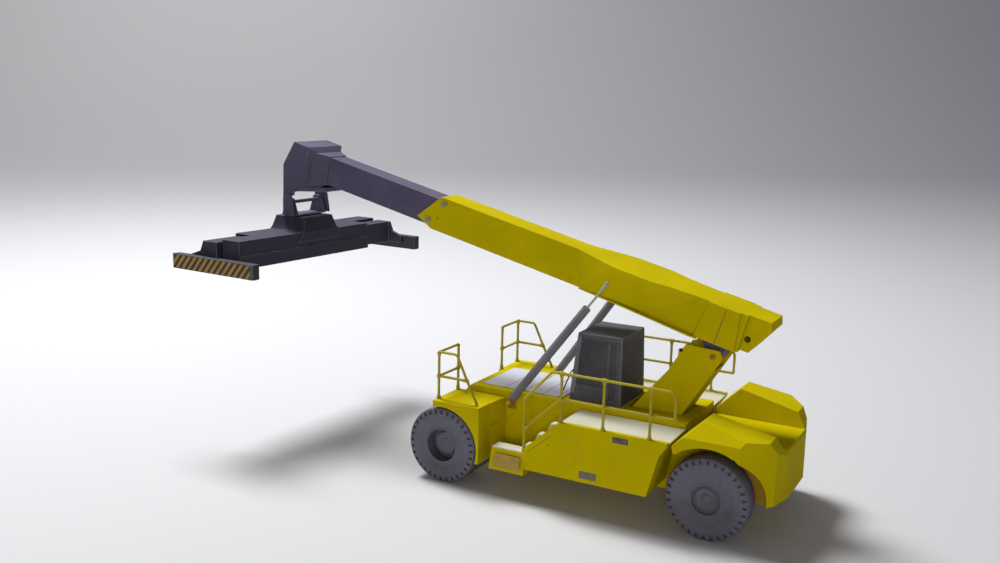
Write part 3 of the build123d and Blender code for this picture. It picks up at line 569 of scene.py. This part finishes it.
# Card parts, with the radius of their edges in metres
folded = {
    "main_frame": 0.00010, "deck_sheet": 0.00005, "side_box_left": 0.00009, "side_box_right": 0.00009,
    "walkway_left": 0.00007, "walkway_right": 0.00007, "step_box_left": 0.00008, "step_box_right": 0.00008,
    "front_fender_left": 0.00010, "front_fender_right": 0.00010, "counterweight": 0.00012, "tower": 0.00010,
    "outer_boom": 0.00009, "inner_boom": 0.00011, "boom_head": 0.00012, "hanger": 0.00007,
    "rotator_block": 0.00010, "spreader_sleeve": 0.00009, "spreader_arm_left": 0.00010,
    "spreader_arm_right": 0.00010, "boom_tongue": 0.00007,
}
arch_wall = 0.0146
for name, edge in folded.items():
    piece = folded_card(name, edge)
    # The spreader's parts take the darker slate ink as painted shade
    finish = shaded_slate if "spreader" in name or name == "rotator_block" else finishes[slots[name]]
    worn = {"slate_card": slate_edge, "yellow_card": yellow_edge}.get(slots[name], finish)
    finish_piece(piece, name + "_card", nodes[name]["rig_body"], slots[name], [finish, worn], name)
    if name == "counterweight":
        # The inner wall of each rear wheel arch has a thinner coat of ink
        piece.data.materials.append(liner_and_crease_shade)
        for face in piece.data.polygons:
            on_arch_wall = abs(abs(face.center.y) - arch_wall) < 0.0001
            if on_arch_wall and abs(face.normal.y) > 0.9:
                face.material_index = 2
for side_name, side in SIDES:
    name = f"end_beam_{side_name}"
    piece = folded_card(name, 0.00008)
    finish_piece(piece, name + "_card", nodes[name]["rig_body"], slots[name],
                 [beam_cards[side_name], slate_edge], name)


# Cab: grey card box whose sides are inked with darker window panels, each behind a fine groove.
# The smallest face with a panel is in square metres
smallest_pane = 0.00008
pane_margin = 0.0011
groove_width = 0.00008
groove_depth = 0.00007


def cab_with_windows():
    piece = folded_card("cab", 0.00016)
    pick(piece)
    upright_faces = [face for face in piece.data.polygons if abs(face.normal.z) < 0.5]
    wanted = [face.index for face in upright_faces if face.area > smallest_pane]
    bpy.ops.object.mode_set(mode="EDIT")
    bpy.ops.mesh.select_mode(type="FACE")
    bpy.ops.mesh.select_all(action="DESELECT")
    bpy.ops.object.mode_set(mode="OBJECT")
    for index in wanted:
        piece.data.polygons[index].select = True
    bpy.ops.object.mode_set(mode="EDIT")
    bpy.ops.mesh.inset(thickness=pane_margin, use_individual=True)
    bpy.ops.mesh.inset(thickness=groove_width, depth=-groove_depth, use_individual=True)
    bpy.ops.object.mode_set(mode="OBJECT")
    panes = [face.index for face in piece.data.polygons if face.select]
    finish_piece(piece, "cab_box", "chassis", slots["cab"], [cab_grey, cab_trim_and_highlight, cab_glass], "cab")
    for index in panes:
        piece.data.polygons[index].material_index = 2


cab_with_windows()


# Wheels: laminated card discs, with notches for the lugs round each shoulder
def turned_shape(name, profile, centre, steps):
    """A shape turned round a line across the machine, from its radii and places along that line."""
    mesh = bpy.data.meshes.new(name)
    mesh.from_pydata([(radius, offset, 0) for radius, offset in profile],
                     [(index, index + 1) for index in range(len(profile) - 1)], [])
    piece = bpy.data.objects.new(name, mesh)
    bpy.context.scene.collection.objects.link(piece)
    carve(piece, "SCREW", "turned", axis="Y", steps=steps, render_steps=steps, use_merge_vertices=True,
          merge_threshold=0.0000005)
    piece.location = centre
    at_origin(piece)
    recalculate(piece)
    return piece


notch_count = 32
notch_width = 0.00062
notch_height = 0.0010
notch_depth = 0.0009
notch_lean = math.radians(14)
notch_share = 0.905


def ring_of_wedges(centre, radius, face_y, out):
    """Wedge cutters all round a tyre's shoulder, as one mesh."""
    clear()
    first = centre + Vector((radius, 0, 0))
    bpy.ops.mesh.primitive_cube_add(size=1, location=first, scale=(notch_height, notch_depth, notch_width))
    wedge = bpy.context.object
    at_origin(wedge)
    bpy.ops.object.mode_set(mode="EDIT")
    bpy.ops.mesh.select_all(action="SELECT")
    bpy.ops.transform.rotate(value=out * notch_lean, orient_axis="Z", center_override=first)
    bpy.ops.transform.translate(value=(0, face_y - centre.y, 0))
    bpy.ops.mesh.spin(dupli=True, steps=notch_count - 1, angle=2 * math.pi * (notch_count - 1) / notch_count,
                      center=centre, axis=(0, 1, 0))
    bpy.ops.mesh.select_all(action="SELECT")
    bpy.ops.mesh.normals_make_consistent(inside=False)
    bpy.ops.object.mode_set(mode="OBJECT")
    return wedge


def tyre(node, body, bore, notched_faces):
    """A laminated tyre with its bore's radius in metres, notched on the faces that point these ways."""
    low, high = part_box(node)
    centre = (low + high) / 2
    half = (high.y - low.y) / 2
    radius = (high.z - low.z) / 2
    shoulder = 0.0007
    # Radius and depth below the face, from the bore out to the tread
    flank = [
        (bore, 0), (bore + 0.00025, 0), (bore + 0.0004, 0.00012), (radius * 0.62, 0.00012),
        (radius * 0.64, 0), (radius * 0.86, 0), (radius - shoulder, 0.00008),
        (radius - 0.00022, 0.00030), (radius, shoulder),
    ]
    profile = [(far, -half + deep) for far, deep in flank] + [(far, half - deep) for far, deep in flank[::-1]]
    piece = turned_shape(node + "_laminate", profile + profile[:1], centre, 120)
    for out in notched_faces:
        cutter = ring_of_wedges(centre, radius * notch_share, centre.y + out * half, out)
        carve(piece, "BOOLEAN", "lug_notches", operation="DIFFERENCE", object=cutter, solver="EXACT")
        bpy.data.objects.remove(cutter)
    smooth(piece, 0.6)
    finish_piece(piece, node + "_laminate", body, slots[node], [tyre_grey], node)


front_bore = 0.0041
rear_bore = 0.0034
for side_name, side in SIDES:
    tyre(f"front_tyre_{side_name}_outer", f"front_wheel_{side_name}", front_bore, (side,))
    tyre(f"front_tyre_{side_name}_inner", f"front_wheel_{side_name}", front_bore, (-side,))
    tyre(f"rear_tyre_{side_name}", f"rear_wheel_{side_name}", rear_bore, (1, -1))


axle_hole = 0.00065
cap_thickness = 0.0006


def hub(node, body, side, profile):
    """A hub disc from its radii and depths behind the tyre's outer face, outermost first, in millimetres."""
    low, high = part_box(node)
    centre = (low + high) / 2
    inner = low.y if side > 0 else high.y
    tyre_node = node.replace("hub", "tyre") + ("_outer" if "front" in node else "")
    tyre_low, tyre_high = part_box(tyre_node)
    face = tyre_high.y if side > 0 else tyre_low.y
    points = [(radius / 1000, face - side * depth / 1000 - centre.y) for radius, depth in profile]
    rim = max(high.z - low.z, high.x - low.x) / 2
    cap_back = points[0][1] - side * cap_thickness
    points += [(rim, points[-1][1]), (rim, inner - centre.y), (axle_hole, inner - centre.y)]
    points += [(axle_hole, cap_back), (0, cap_back)]
    piece = turned_shape(node + "_disc", points, centre, 72)
    smooth(piece, 0.55)
    finish_piece(piece, node + "_disc", body, slots[node], [tyre_grey], node)


front_dish = ((0, 1.98), (1.15, 1.98), (1.3, 2.10), (1.5, 2.16), (2.6, 2.10), (2.82, 2.22), (2.9, 2.45),
              (2.95, 3.1), (3.1, 3.2), (3.9, 3.2))
rear_dish = ((0, 0.36), (0.9, 0.36), (1.1, 0.42), (1.25, 0.60), (1.45, 0.64), (2.2, 0.52), (2.42, 0.36),
             (2.58, 0.38), (2.75, 0.56), (3.0, 0.66), (3.2, 0.62))
for side_name, side in SIDES:
    hub(f"front_hub_{side_name}", f"front_wheel_{side_name}", side, front_dish)
    hub(f"rear_hub_{side_name}", f"rear_wheel_{side_name}", side, rear_dish)


# Railings of bent wire, with blobs of paint where the wires meet
def wire_run(name, runs, radius, body, slot, material, *stands_for):
    """Bent wire, its radius in metres and its places in millimetres, with the paint's thickness at each."""
    line = bpy.data.curves.new(name, "CURVE")
    line.dimensions = "3D"
    line.bevel_depth = radius
    line.bevel_resolution = 3
    line.use_fill_caps = True
    for run in runs:
        strand = line.splines.new("POLY")
        strand.points.add(len(run) - 1)
        for point, (x, y, z, thick) in zip(strand.points, run):
            point.co = (*spot(x, y, z), 1)
            point.radius = thick
    piece = bpy.data.objects.new(name, line)
    bpy.context.scene.collection.objects.link(piece)
    pick(piece)
    bpy.ops.object.convert(target="MESH")
    smooth(piece, 1.0)
    finish_piece(piece, name, body, slot, [material], *stands_for)


def with_blobs(corners, blobs, bend=0.9):
    """A run with each corner eased over a few points, and paint blobs at the listed corners."""
    run = []
    last = len(corners) - 1
    for index, corner in enumerate(corners):
        here = Vector(corner)
        thick = 1.5 if index in blobs else 1.0
        before = (Vector(corners[index - 1]) - here) if index > 0 else None
        after = (Vector(corners[index + 1]) - here) if index < last else None
        if before is not None and after is not None:
            reach = min(bend, 0.3 * before.length, 0.3 * after.length)
            start = here + reach * before.normalized()
            end = here + reach * after.normalized()
            for share in (0, 0.25, 0.5, 0.75, 1):
                place = (1 - share) ** 2 * start + 2 * share * (1 - share) * here + share ** 2 * end
                run.append((*place, 1 + (thick - 1) * (1 - abs(2 * share - 1))))
        else:
            onward = after if after is not None else before
            near = here + min(0.8, 0.3 * onward.length) * onward.normalized()
            far = here + min(1.5, 0.45 * onward.length) * onward.normalized()
            ends = [(*here, thick), (*near, 1 + (thick - 1) * 0.7), (*far, 1.0)]
            run += ends if index == 0 else ends[::-1]
    return run


def post(x, y, low, high):
    """An upright with paint round its foot, at the middle rail and under the top rail."""
    step = high - low
    marks = ((0, 1.9), (0.02, 1.7), (0.06, 1.2), (0.10, 1.0), (0.90, 1.0), (0.96, 1.5), (1.0, 1.5))
    return [(x, y, low + share * step, thick) for share, thick in marks]


def sleeve(x, y, z, thick=1.6):
    """A blob of paint where a rail meets the middle of an upright."""
    return [(x, y, z - 0.7, 1.0), (x, y, z - 0.2, thick), (x, y, z + 0.2, thick), (x, y, z + 0.7, 1.0)]


rail_radius = 0.00033
rail_out = 22.4
rail_top = 33.3
rail_middle = 27.0
rail_back = 7.6
newel_ahead = 44.8
for side_name, side in SIDES:
    y = side * rail_out
    top_rail = with_blobs(((newel_ahead, y, 12.0), (newel_ahead, y, 25.6), (37.7, y, rail_top),
                           (8.8, y, rail_top), (rail_back, y, 32.1), (rail_back, y, rail_middle)), (0, 1))
    middle_rail = with_blobs(((rail_back, y, rail_middle), (walkway_posts[-1], y, rail_middle),
                              (newel_ahead, y, 18.2)), (2,))
    uprights = [post(x, y, 21.5, 33.2) for x in walkway_posts]
    collars = [[(x, y, 26.2, 1.0), (x, y, 26.7, 1.55), (x, y, 27.2, 1.55), (x, y, 27.7, 1.0)]
               for x in walkway_posts]
    knee = [(newel_ahead, y, 17.4, 1.0), (newel_ahead, y, 18.0, 1.6), (newel_ahead, y, 18.5, 1.5),
            (newel_ahead, y, 19.2, 1.0)]
    crowns = [[(x - 0.9, y, rail_top, 1.0), (x - 0.3, y, rail_top, 1.5),
               (x + 0.3, y, rail_top, 1.5), (x + 0.9, y, rail_top, 1.0)] for x in walkway_posts]
    wire_run(f"side_rail_{side_name}_wire", [top_rail, middle_rail, *uprights, *collars, knee, *crowns],
             rail_radius, "chassis", slots[f"side_rail_{side_name}"], yellow_wire, f"side_rail_{side_name}")

# The front rails stand on the fenders, and a stiff black wire stands beside the cab
front_ahead = 70.0
front_foot, front_middle, front_top = 21.0, 26.7, 32.9
front_turn = 61.8
mirror_radius = 0.00016
for side_name, side in SIDES:
    outer = side * 20.8
    inner = side * 11.6
    top_rail = with_blobs(((front_ahead, inner, front_foot), (front_ahead, inner, front_top),
                           (front_ahead, outer, front_top), (64.8, outer, front_top),
                           (front_turn, outer, front_middle), (58.8, outer, front_foot)), (0, 1, 2, 4), 0.7)
    middle_rail = with_blobs(((front_ahead, inner, front_middle), (front_ahead, outer, front_middle),
                              (front_turn, outer, front_middle)), (0, 1, 2), 0.4)
    corner_post = post(front_ahead, outer, front_foot, front_top)
    outer_sleeve = sleeve(front_ahead, outer, front_middle)
    inner_sleeve = sleeve(front_ahead, inner, front_middle, 1.7)
    wire_run(f"front_rail_{side_name}_wire",
             [top_rail, middle_rail, corner_post, outer_sleeve, inner_sleeve],
             rail_radius, "chassis", slots[f"front_rail_{side_name}"], yellow_wire, f"front_rail_{side_name}")
    hook = with_blobs(((39.1, side * 7.6, 30.2), (39.5, side * 8.5, 29.6), (40.3, side * 8.9, 27.2),
                       (41.2, side * 8.7, 24.9)), (), 0.8)
    wire_run(f"cab_mirror_{side_name}_wire", [hook], mirror_radius, "chassis", "wire", black)


# Small round things: pin heads, caps and dots inked on card, and holes inked black as painted shade
def button(name, place, out, radius, proud, body, slot, material, crown=0.35):
    """A low disc with a rounded rim, its back on a face at place, standing proud towards out."""
    profile = [(0, proud), (radius * 0.55, proud), (radius * 0.88, proud * (1 - crown)), (radius, 0),
               (radius, -0.00005), (0, -0.00005)]
    piece = turned_shape(name, profile, Vector((0, 0, 0)), 32)
    swing = Vector((0, 1, 0)).rotation_difference(Vector(out)).to_matrix().to_4x4()
    piece.matrix_world = Matrix.Translation(place) @ swing
    at_origin(piece)
    smooth(piece, 0.8)
    finish_piece(piece, name, body, slot, [material])


# Places of the pins in the boom's nose: millimetres along the boom and above its line
nose_pins = ((83.3, 5.5), (79.5, 11.1))
hanger_pin_up = 0.064621
spreader_length = 0.0697
beam_width = 0.0023
arm_hole_up = 0.05312
arm_hole_out = spreader_length / 2 - beam_width
hanger_low, hanger_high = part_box("hanger")
for side_name, side in SIDES:
    out = Vector((0, side, 0))
    button(f"tower_dot_{side_name}", spot(12.8, side * tower_face, 38.4), out, 0.00042, 0.00003,
           "chassis", "yellow_card", black)
    button(f"tower_rivet_{side_name}", spot(13.6, side * tower_face, 40.5), out, 0.00020, 0.00003,
           "chassis", "yellow_card", black)
    button(f"pivot_washer_{side_name}", spot(pivot_ahead, side * tower_face, pivot_up), out,
           0.00125, 0.00008, "chassis", "yellow_card", yellow)
    button(f"pivot_pin_head_{side_name}", spot(pivot_ahead, side * (tower_face + 0.4), pivot_up), out,
           0.00062, 0.00012, "boom", "wire", rust)
    for index, (along, above) in enumerate(nose_pins):
        button(f"nose_pin_{side_name}_{index}", boom_spot(along, side * 4.4, above), out,
               0.00084, 0.00010, "boom", "wire", pin_grey)
    button(f"nose_dot_{side_name}", boom_spot(80.6, side * 4.0, 6.6), out, 0.00022, 0.00003, "boom",
           "yellow_card", black)
    cheek_face = hanger_high.y if side > 0 else hanger_low.y
    pin_place = Vector((spreader_middle.x, side * (abs(cheek_face) - 0.0001), hanger_pin_up))
    button(f"hanger_pin_head_{side_name}", pin_place, out, 0.00078, 0.00022, "hanger", "wire", pin_grey, 0.5)
    # Painted shade: a black disc stands for the dark inside of the hole in each arm's end
    arm_face = (spreader_middle + 0.0040 * side * along_beam
                + side * arm_hole_out * along_spreader + Vector((0, 0, arm_hole_up)))
    button(f"arm_hole_shade_{side_name}", arm_face, side * along_spreader, 0.00045, 0.00003,
           f"spreader_arm_{side_name}", "slate_card", black)


# Printed and glued card details on the flat sides
def card_plate(name, corners, out, proud, body, slot, material):
    """A thin plate of card on a face, from its four corners, with a rounded edge."""
    clear()
    bpy.ops.mesh.primitive_plane_add(size=1, location=(0, 0, 0))
    piece = bpy.context.object
    order = (0, 1, 3, 2)
    for index, corner in zip(order, corners):
        piece.data.vertices[index].co = corner
    carve(piece, "SOLIDIFY", "thickness", thickness=proud, offset=0)
    pick(piece)
    bpy.ops.object.mode_set(mode="EDIT")
    bpy.ops.mesh.select_all(action="SELECT")
    bpy.ops.transform.translate(value=tuple(Vector(out) * proud * 0.3))
    bpy.ops.mesh.normals_make_consistent(inside=False)
    bpy.ops.object.mode_set(mode="OBJECT")
    carve(piece, "BEVEL", "soft_edges", width=proud * 0.4, segments=2, limit_method="ANGLE", angle_limit=0.6)
    smooth(piece, 0.6)
    finish_piece(piece, name, body, slot, [material])


def side_plate(name, side, x0, x1, z0, z1, y, proud, material):
    """An upright plate on the chassis, between two stations and two heights."""
    corners = [spot(x0, side * y, z0), spot(x1, side * y, z0), spot(x1, side * y, z1), spot(x0, side * y, z1)]
    card_plate(name, corners, (0, side, 0), proud, "chassis", "yellow_card", material)


def side_line(name, side, start, end, y, width, material, body="chassis"):
    """A thin inked line on an upright face, from two (x, z) places."""
    a = Vector((start[0], 0, start[1]))
    b = Vector((end[0], 0, end[1]))
    wide = (b - a).normalized().cross(Vector((0, 1, 0))) * width / 2
    corners = [spot(q.x, side * y, q.z) for q in (a - wide, b - wide, b + wide, a + wide)]
    card_plate(name, corners, (0, side, 0), 0.00002, body, "yellow_card", material)


def cab_strip(name, side, ahead, behind, low, high, material):
    """Card strip on a cab side. Its ends are shares of the side, from its front and from its foot."""
    corners = []
    for along, up in ((ahead, low), (behind, low), (behind, high), (ahead, high)):
        # The cab narrows from its foot, 22.6 mm up, to its roof, 17 mm higher
        front = 40.0 - 1.6 * up
        back = 26.4 + 0.4 * up
        corners.append(spot(front + (back - front) * along, side * (8.0 - 0.7 * up), 22.6 + 17.0 * up))
    card_plate(name, corners, (0, side, 0), 0.00011, "chassis", slots["cab"], material)


for side_name, side in SIDES:
    side_plate(f"vent_{side_name}", side, 18.05, 21.85, 19.3, 20.7, box_face, 0.00006, vent_ink)
    for index in range(3):
        side_plate(f"vent_slat_{side_name}_{index}", side, 18.25, 21.65, 19.48 + 0.40 * index,
                   19.68 + 0.40 * index, box_face + 0.03, 0.00009, patch_ink)
    side_plate(f"label_blank_{side_name}", side, 25.5, 29.8, 9.1, 10.9, box_face, 0.00005, patch_ink)
    side_line(f"hatch_line_a_{side_name}", side, (30.2, 11.5), (30.2, 17.8), box_face, 0.07, tan)
    side_line(f"hatch_line_b_{side_name}", side, (30.2, 17.8), (35.2, 17.8), box_face, 0.07, tan)
    button(f"hatch_dot_{side_name}", spot(38.0, side * box_face, 15.4), (0, side, 0), 0.00018, 0.00003,
           "chassis", "yellow_card", black)
    side_line(f"step_fold_line_{side_name}", side, (43.5, 12.7), (37.4, 17.9), box_face, 0.10, vent_ink)

# Ends of the pen lines: (x, z) on the frame's sides, and (y, z) on the fenders' backs
frame_pen_lines = (
    ((59.8, 18.3), (56.9, 15.1)), ((56.9, 15.1), (56.9, 11.2)),
    ((57.7, 14.9), (56.2, 14.8)), ((56.2, 14.8), (53.9, 17.2)),
)
fender_pen_lines = (((21.6, 17.2), (21.4, 10.0)), ((18.6, 15.6), (13.9, 15.3)), ((20.2, 15.9), (20.1, 8.6)))
fender_back = 56.29
bracket_face = 6.6
for side_name, side in SIDES:
    # The front post is a painted highlight: lighter ink where light from the left falls
    cab_strip(f"cab_front_post_highlight_{side_name}", side, 0.005, 0.095, 0.10, 0.97, cab_trim_and_highlight)
    cab_strip(f"cab_window_bar_{side_name}", side, 0.70, 0.76, 0.07, 0.91, cab_grey)
    cab_strip(f"cab_roof_edge_{side_name}", side, 0.095, 0.985, 0.94, 0.985, cab_grey)
    cab_strip(f"cab_door_foot_{side_name}", side, 0.11, 0.69, 0.07, 0.24, cab_grey)
    side_plate(f"ram_foot_slot_{side_name}", side, 53.3, 55.7, 18.2, 20.6, frame_face, 0.00004, rust)
    for row, (start, end) in enumerate(frame_pen_lines):
        side_line(f"frame_pen_line_{side_name}_{row}", side, start, end, frame_face, 0.10, pen_brown)
    for row, (start, end) in enumerate(fender_pen_lines):
        a = Vector((0, start[0], start[1]))
        b = Vector((0, end[0], end[1]))
        wide = (b - a).normalized().cross(Vector((1, 0, 0))) * 0.05
        corners = [spot(fender_back, side * q.y, q.z) for q in (a - wide, b - wide, b + wide, a + wide)]
        card_plate(f"fender_pen_line_{side_name}_{row}", corners, (-1, 0, 0), 0.00002, "chassis",
                   "yellow_card", pen_brown)
    card_plate(f"step_box_patch_{side_name}",
               [spot(45.2, side * 23.72, 7.6), spot(52.6, side * 23.72, 7.6),
                spot(52.0, side * 23.35, 10.9), spot(45.2, side * 23.35, 10.9)],
               (0, side, 0), 0.00005, "chassis", "white_card", tan)
    # Painted shade: a soft brown strip along each bracket's fold stands for the shade in the crease
    crease_shade = [boom_spot(along, side * bracket_face, above)
             for along, above in ((-0.15, 12.0), (0.15, 12.0), (0.55, 3.6), (0.25, 3.6))]
    card_plate(f"bracket_fold_shade_{side_name}", crease_shade, (0, side, 0), 0.00003, "boom", "yellow_card", liner_and_crease_shade)


# The boom's head and the hanger under it
def cut_card(name, corners, thick, body, slot, material):
    """A flat card of any outline, thick in millimetres, with its middle layer on the given corners."""
    clear()
    bpy.ops.mesh.primitive_circle_add(vertices=len(corners), radius=0.001, fill_type="NGON")
    piece = bpy.context.object
    for vertex, corner in zip(piece.data.vertices, corners):
        vertex.co = corner
    carve(piece, "SOLIDIFY", "thickness", thickness=thick / 1000, offset=0)
    recalculate(piece)
    carve(piece, "BEVEL", "soft_edges", width=0.00008, segments=2, limit_method="ANGLE", angle_limit=0.6)
    smooth(piece, 0.6)
    finish_piece(piece, name, body, slot, [material])


cheek_outline = ((128.0, 66.5), (130.4, 67.0), (131.3, 66.4), (131.4, 61.0), (127.2, 60.9), (127.3, 62.4))
cheek_out = 7.725
for side_name, side in SIDES:
    cut_card(f"hanger_cheek_{side_name}", [spot(x, side * cheek_out, z) for x, z in cheek_outline],
             0.25, "hanger", slots["hanger"], slate)
    side_line(f"head_fold_line_{side_name}", side, (121.2, 76.4), (123.3, 70.2), head_face, 0.16, black,
              "boom_extension")

# The lip runs under the head, and its left half is mirrored
lip_half = ((126.6, 7.45), (124.8, 5.95), (121.7, 4.35), (119.3, 3.95))
lip_outline = lip_half + tuple((x, -y) for x, y in reversed(lip_half))
lip_up = 68.6
lip_thick = 1.2
cut_card("head_lip", [spot(x, y, lip_up) for x, y in lip_outline],
         lip_thick, "boom_extension", slots["boom_head"], slate)


# Lift cylinders: rolled paper tubes on a wire foot, with wire rods
def turned_along(name, profile, base, direction, steps):
    """A shape turned round a line from base along direction, from (radius, distance) in millimetres."""
    points = [(radius / 1000, along / 1000) for radius, along in profile]
    piece = turned_shape(name, points, Vector((0, 0, 0)), steps)
    swing = Vector((0, 1, 0)).rotation_difference(direction).to_matrix().to_4x4()
    piece.matrix_world = Matrix.Translation(base) @ swing
    at_origin(piece)
    smooth(piece, 0.6)
    return piece


def joined(*pieces):
    pick(*pieces)
    bpy.ops.object.join()
    smooth(pieces[0], 0.6)
    return pieces[0]


tube_profile = (
    (0, 1.0), (0.85, 1.0), (1.05, 1.25), (1.05, 32.35), (1.0, 32.5), (0.78, 32.5), (0.70, 32.4),
    (0.66, 30.5), (0, 30.5),
)
foot_profile = ((0, -0.40), (0.75, -0.40), (0.88, -0.30), (0.88, 0.30), (0.75, 0.40), (0, 0.40))
eye_profile = ((0, -0.28), (0.48, -0.28), (0.60, -0.16), (0.60, 0.16), (0.48, 0.28), (0, 0.28))
# Radius of the rod and distance short of its end
rod_profile = (
    (0, 31.5), (0.22, 31.5), (0.30, 31.3), (0.30, 1.6), (0.38, 0.9), (0.42, 0.3), (0.30, 0), (0, 0),
)
for side_name, side in SIDES:
    foot = spot(54.5, side * 12.1, 20.2)
    eye = spot(31.0, side * 8.5, 52.6)
    line = (eye - foot).normalized()
    reach = (eye - foot).length * 1000
    tube_body = f"lift_tube_{side_name}"
    rod_body = f"lift_rod_{side_name}"
    tube = turned_along(f"{tube_body}_rolled", tube_profile, foot, line, 40)
    ring = turned_along(f"lift_foot_{side_name}", foot_profile, foot, Vector((0, 1, 0)), 32)
    finish_piece(tube, f"{tube_body}_rolled", tube_body, slots[tube_body], [ram_grey], tube_body)
    finish_piece(ring, f"lift_foot_{side_name}_stub", tube_body, "wire", [rust])
    shaft = [(radius, reach - short) for radius, short in rod_profile]
    rod = turned_along(f"{rod_body}_wire", shaft, foot, line, 24)
    loop = turned_along(f"lift_eye_{side_name}", eye_profile, eye, Vector((0, 1, 0)), 24)
    finish_piece(joined(rod, loop), f"{rod_body}_wire", rod_body, slots[rod_body], [bare_wire], rod_body)


# Floor, which sweeps up far behind the model
floor_width, floor_depth = 6.0, 2.4
floor_nearer = 0.2
sweep_radius = 0.7
sweep_steps = 12
wall_height = 2.0
clear()
bpy.ops.mesh.primitive_plane_add(size=1, location=(0, floor_nearer, 0))
floor = bpy.context.object
floor.name = "pale_floor"
bpy.ops.transform.resize(value=(floor_width, floor_depth, 1))
at_origin(floor)
bpy.ops.object.mode_set(mode="EDIT")
bpy.ops.mesh.select_mode(type="EDGE")
bpy.ops.mesh.select_all(action="DESELECT")
bpy.ops.object.mode_set(mode="OBJECT")
far_edge = floor_nearer - floor_depth / 2
for edge in floor.data.edges:
    edge.select = all(floor.data.vertices[index].co.y < far_edge + 0.1 for index in edge.vertices)
bpy.ops.object.mode_set(mode="EDIT")
for index in range(sweep_steps):
    low = math.pi / 2 * index / sweep_steps
    high = math.pi / 2 * (index + 1) / sweep_steps
    slide = -sweep_radius * (math.sin(high) - math.sin(low))
    rise = sweep_radius * (math.cos(low) - math.cos(high))
    bpy.ops.mesh.extrude_region_move(TRANSFORM_OT_translate={"value": (0, slide, rise)})
bpy.ops.mesh.extrude_region_move(TRANSFORM_OT_translate={"value": (0, 0, wall_height)})
bpy.ops.object.mode_set(mode="OBJECT")
bpy.ops.object.shade_smooth()
floor.rotation_euler = (0, 0, yaw)
at_origin(floor)
pale = bpy.data.materials.new("pale_floor")
pale.use_nodes = True
floor_tree = pale.node_tree
floor_shader = floor_tree.nodes["Principled BSDF"]
# Painted shade: the floor's colour darkens away from the window and up the sweep
away = face_millimetres(floor_tree, Vector((0, 0, 0)), Vector((-0.80, -0.50, 0.33)))
floor_painted_shade = mixed(floor_tree, spread(floor_tree, away, -100, 1500), (0.66, 0.66, 0.67), (0.40, 0.39, 0.46))
floor_tree.links.new(floor_painted_shade, floor_shader.inputs["Base Color"])
floor_shader.inputs["Roughness"].default_value = 0.9
floor.data.materials.append(pale)
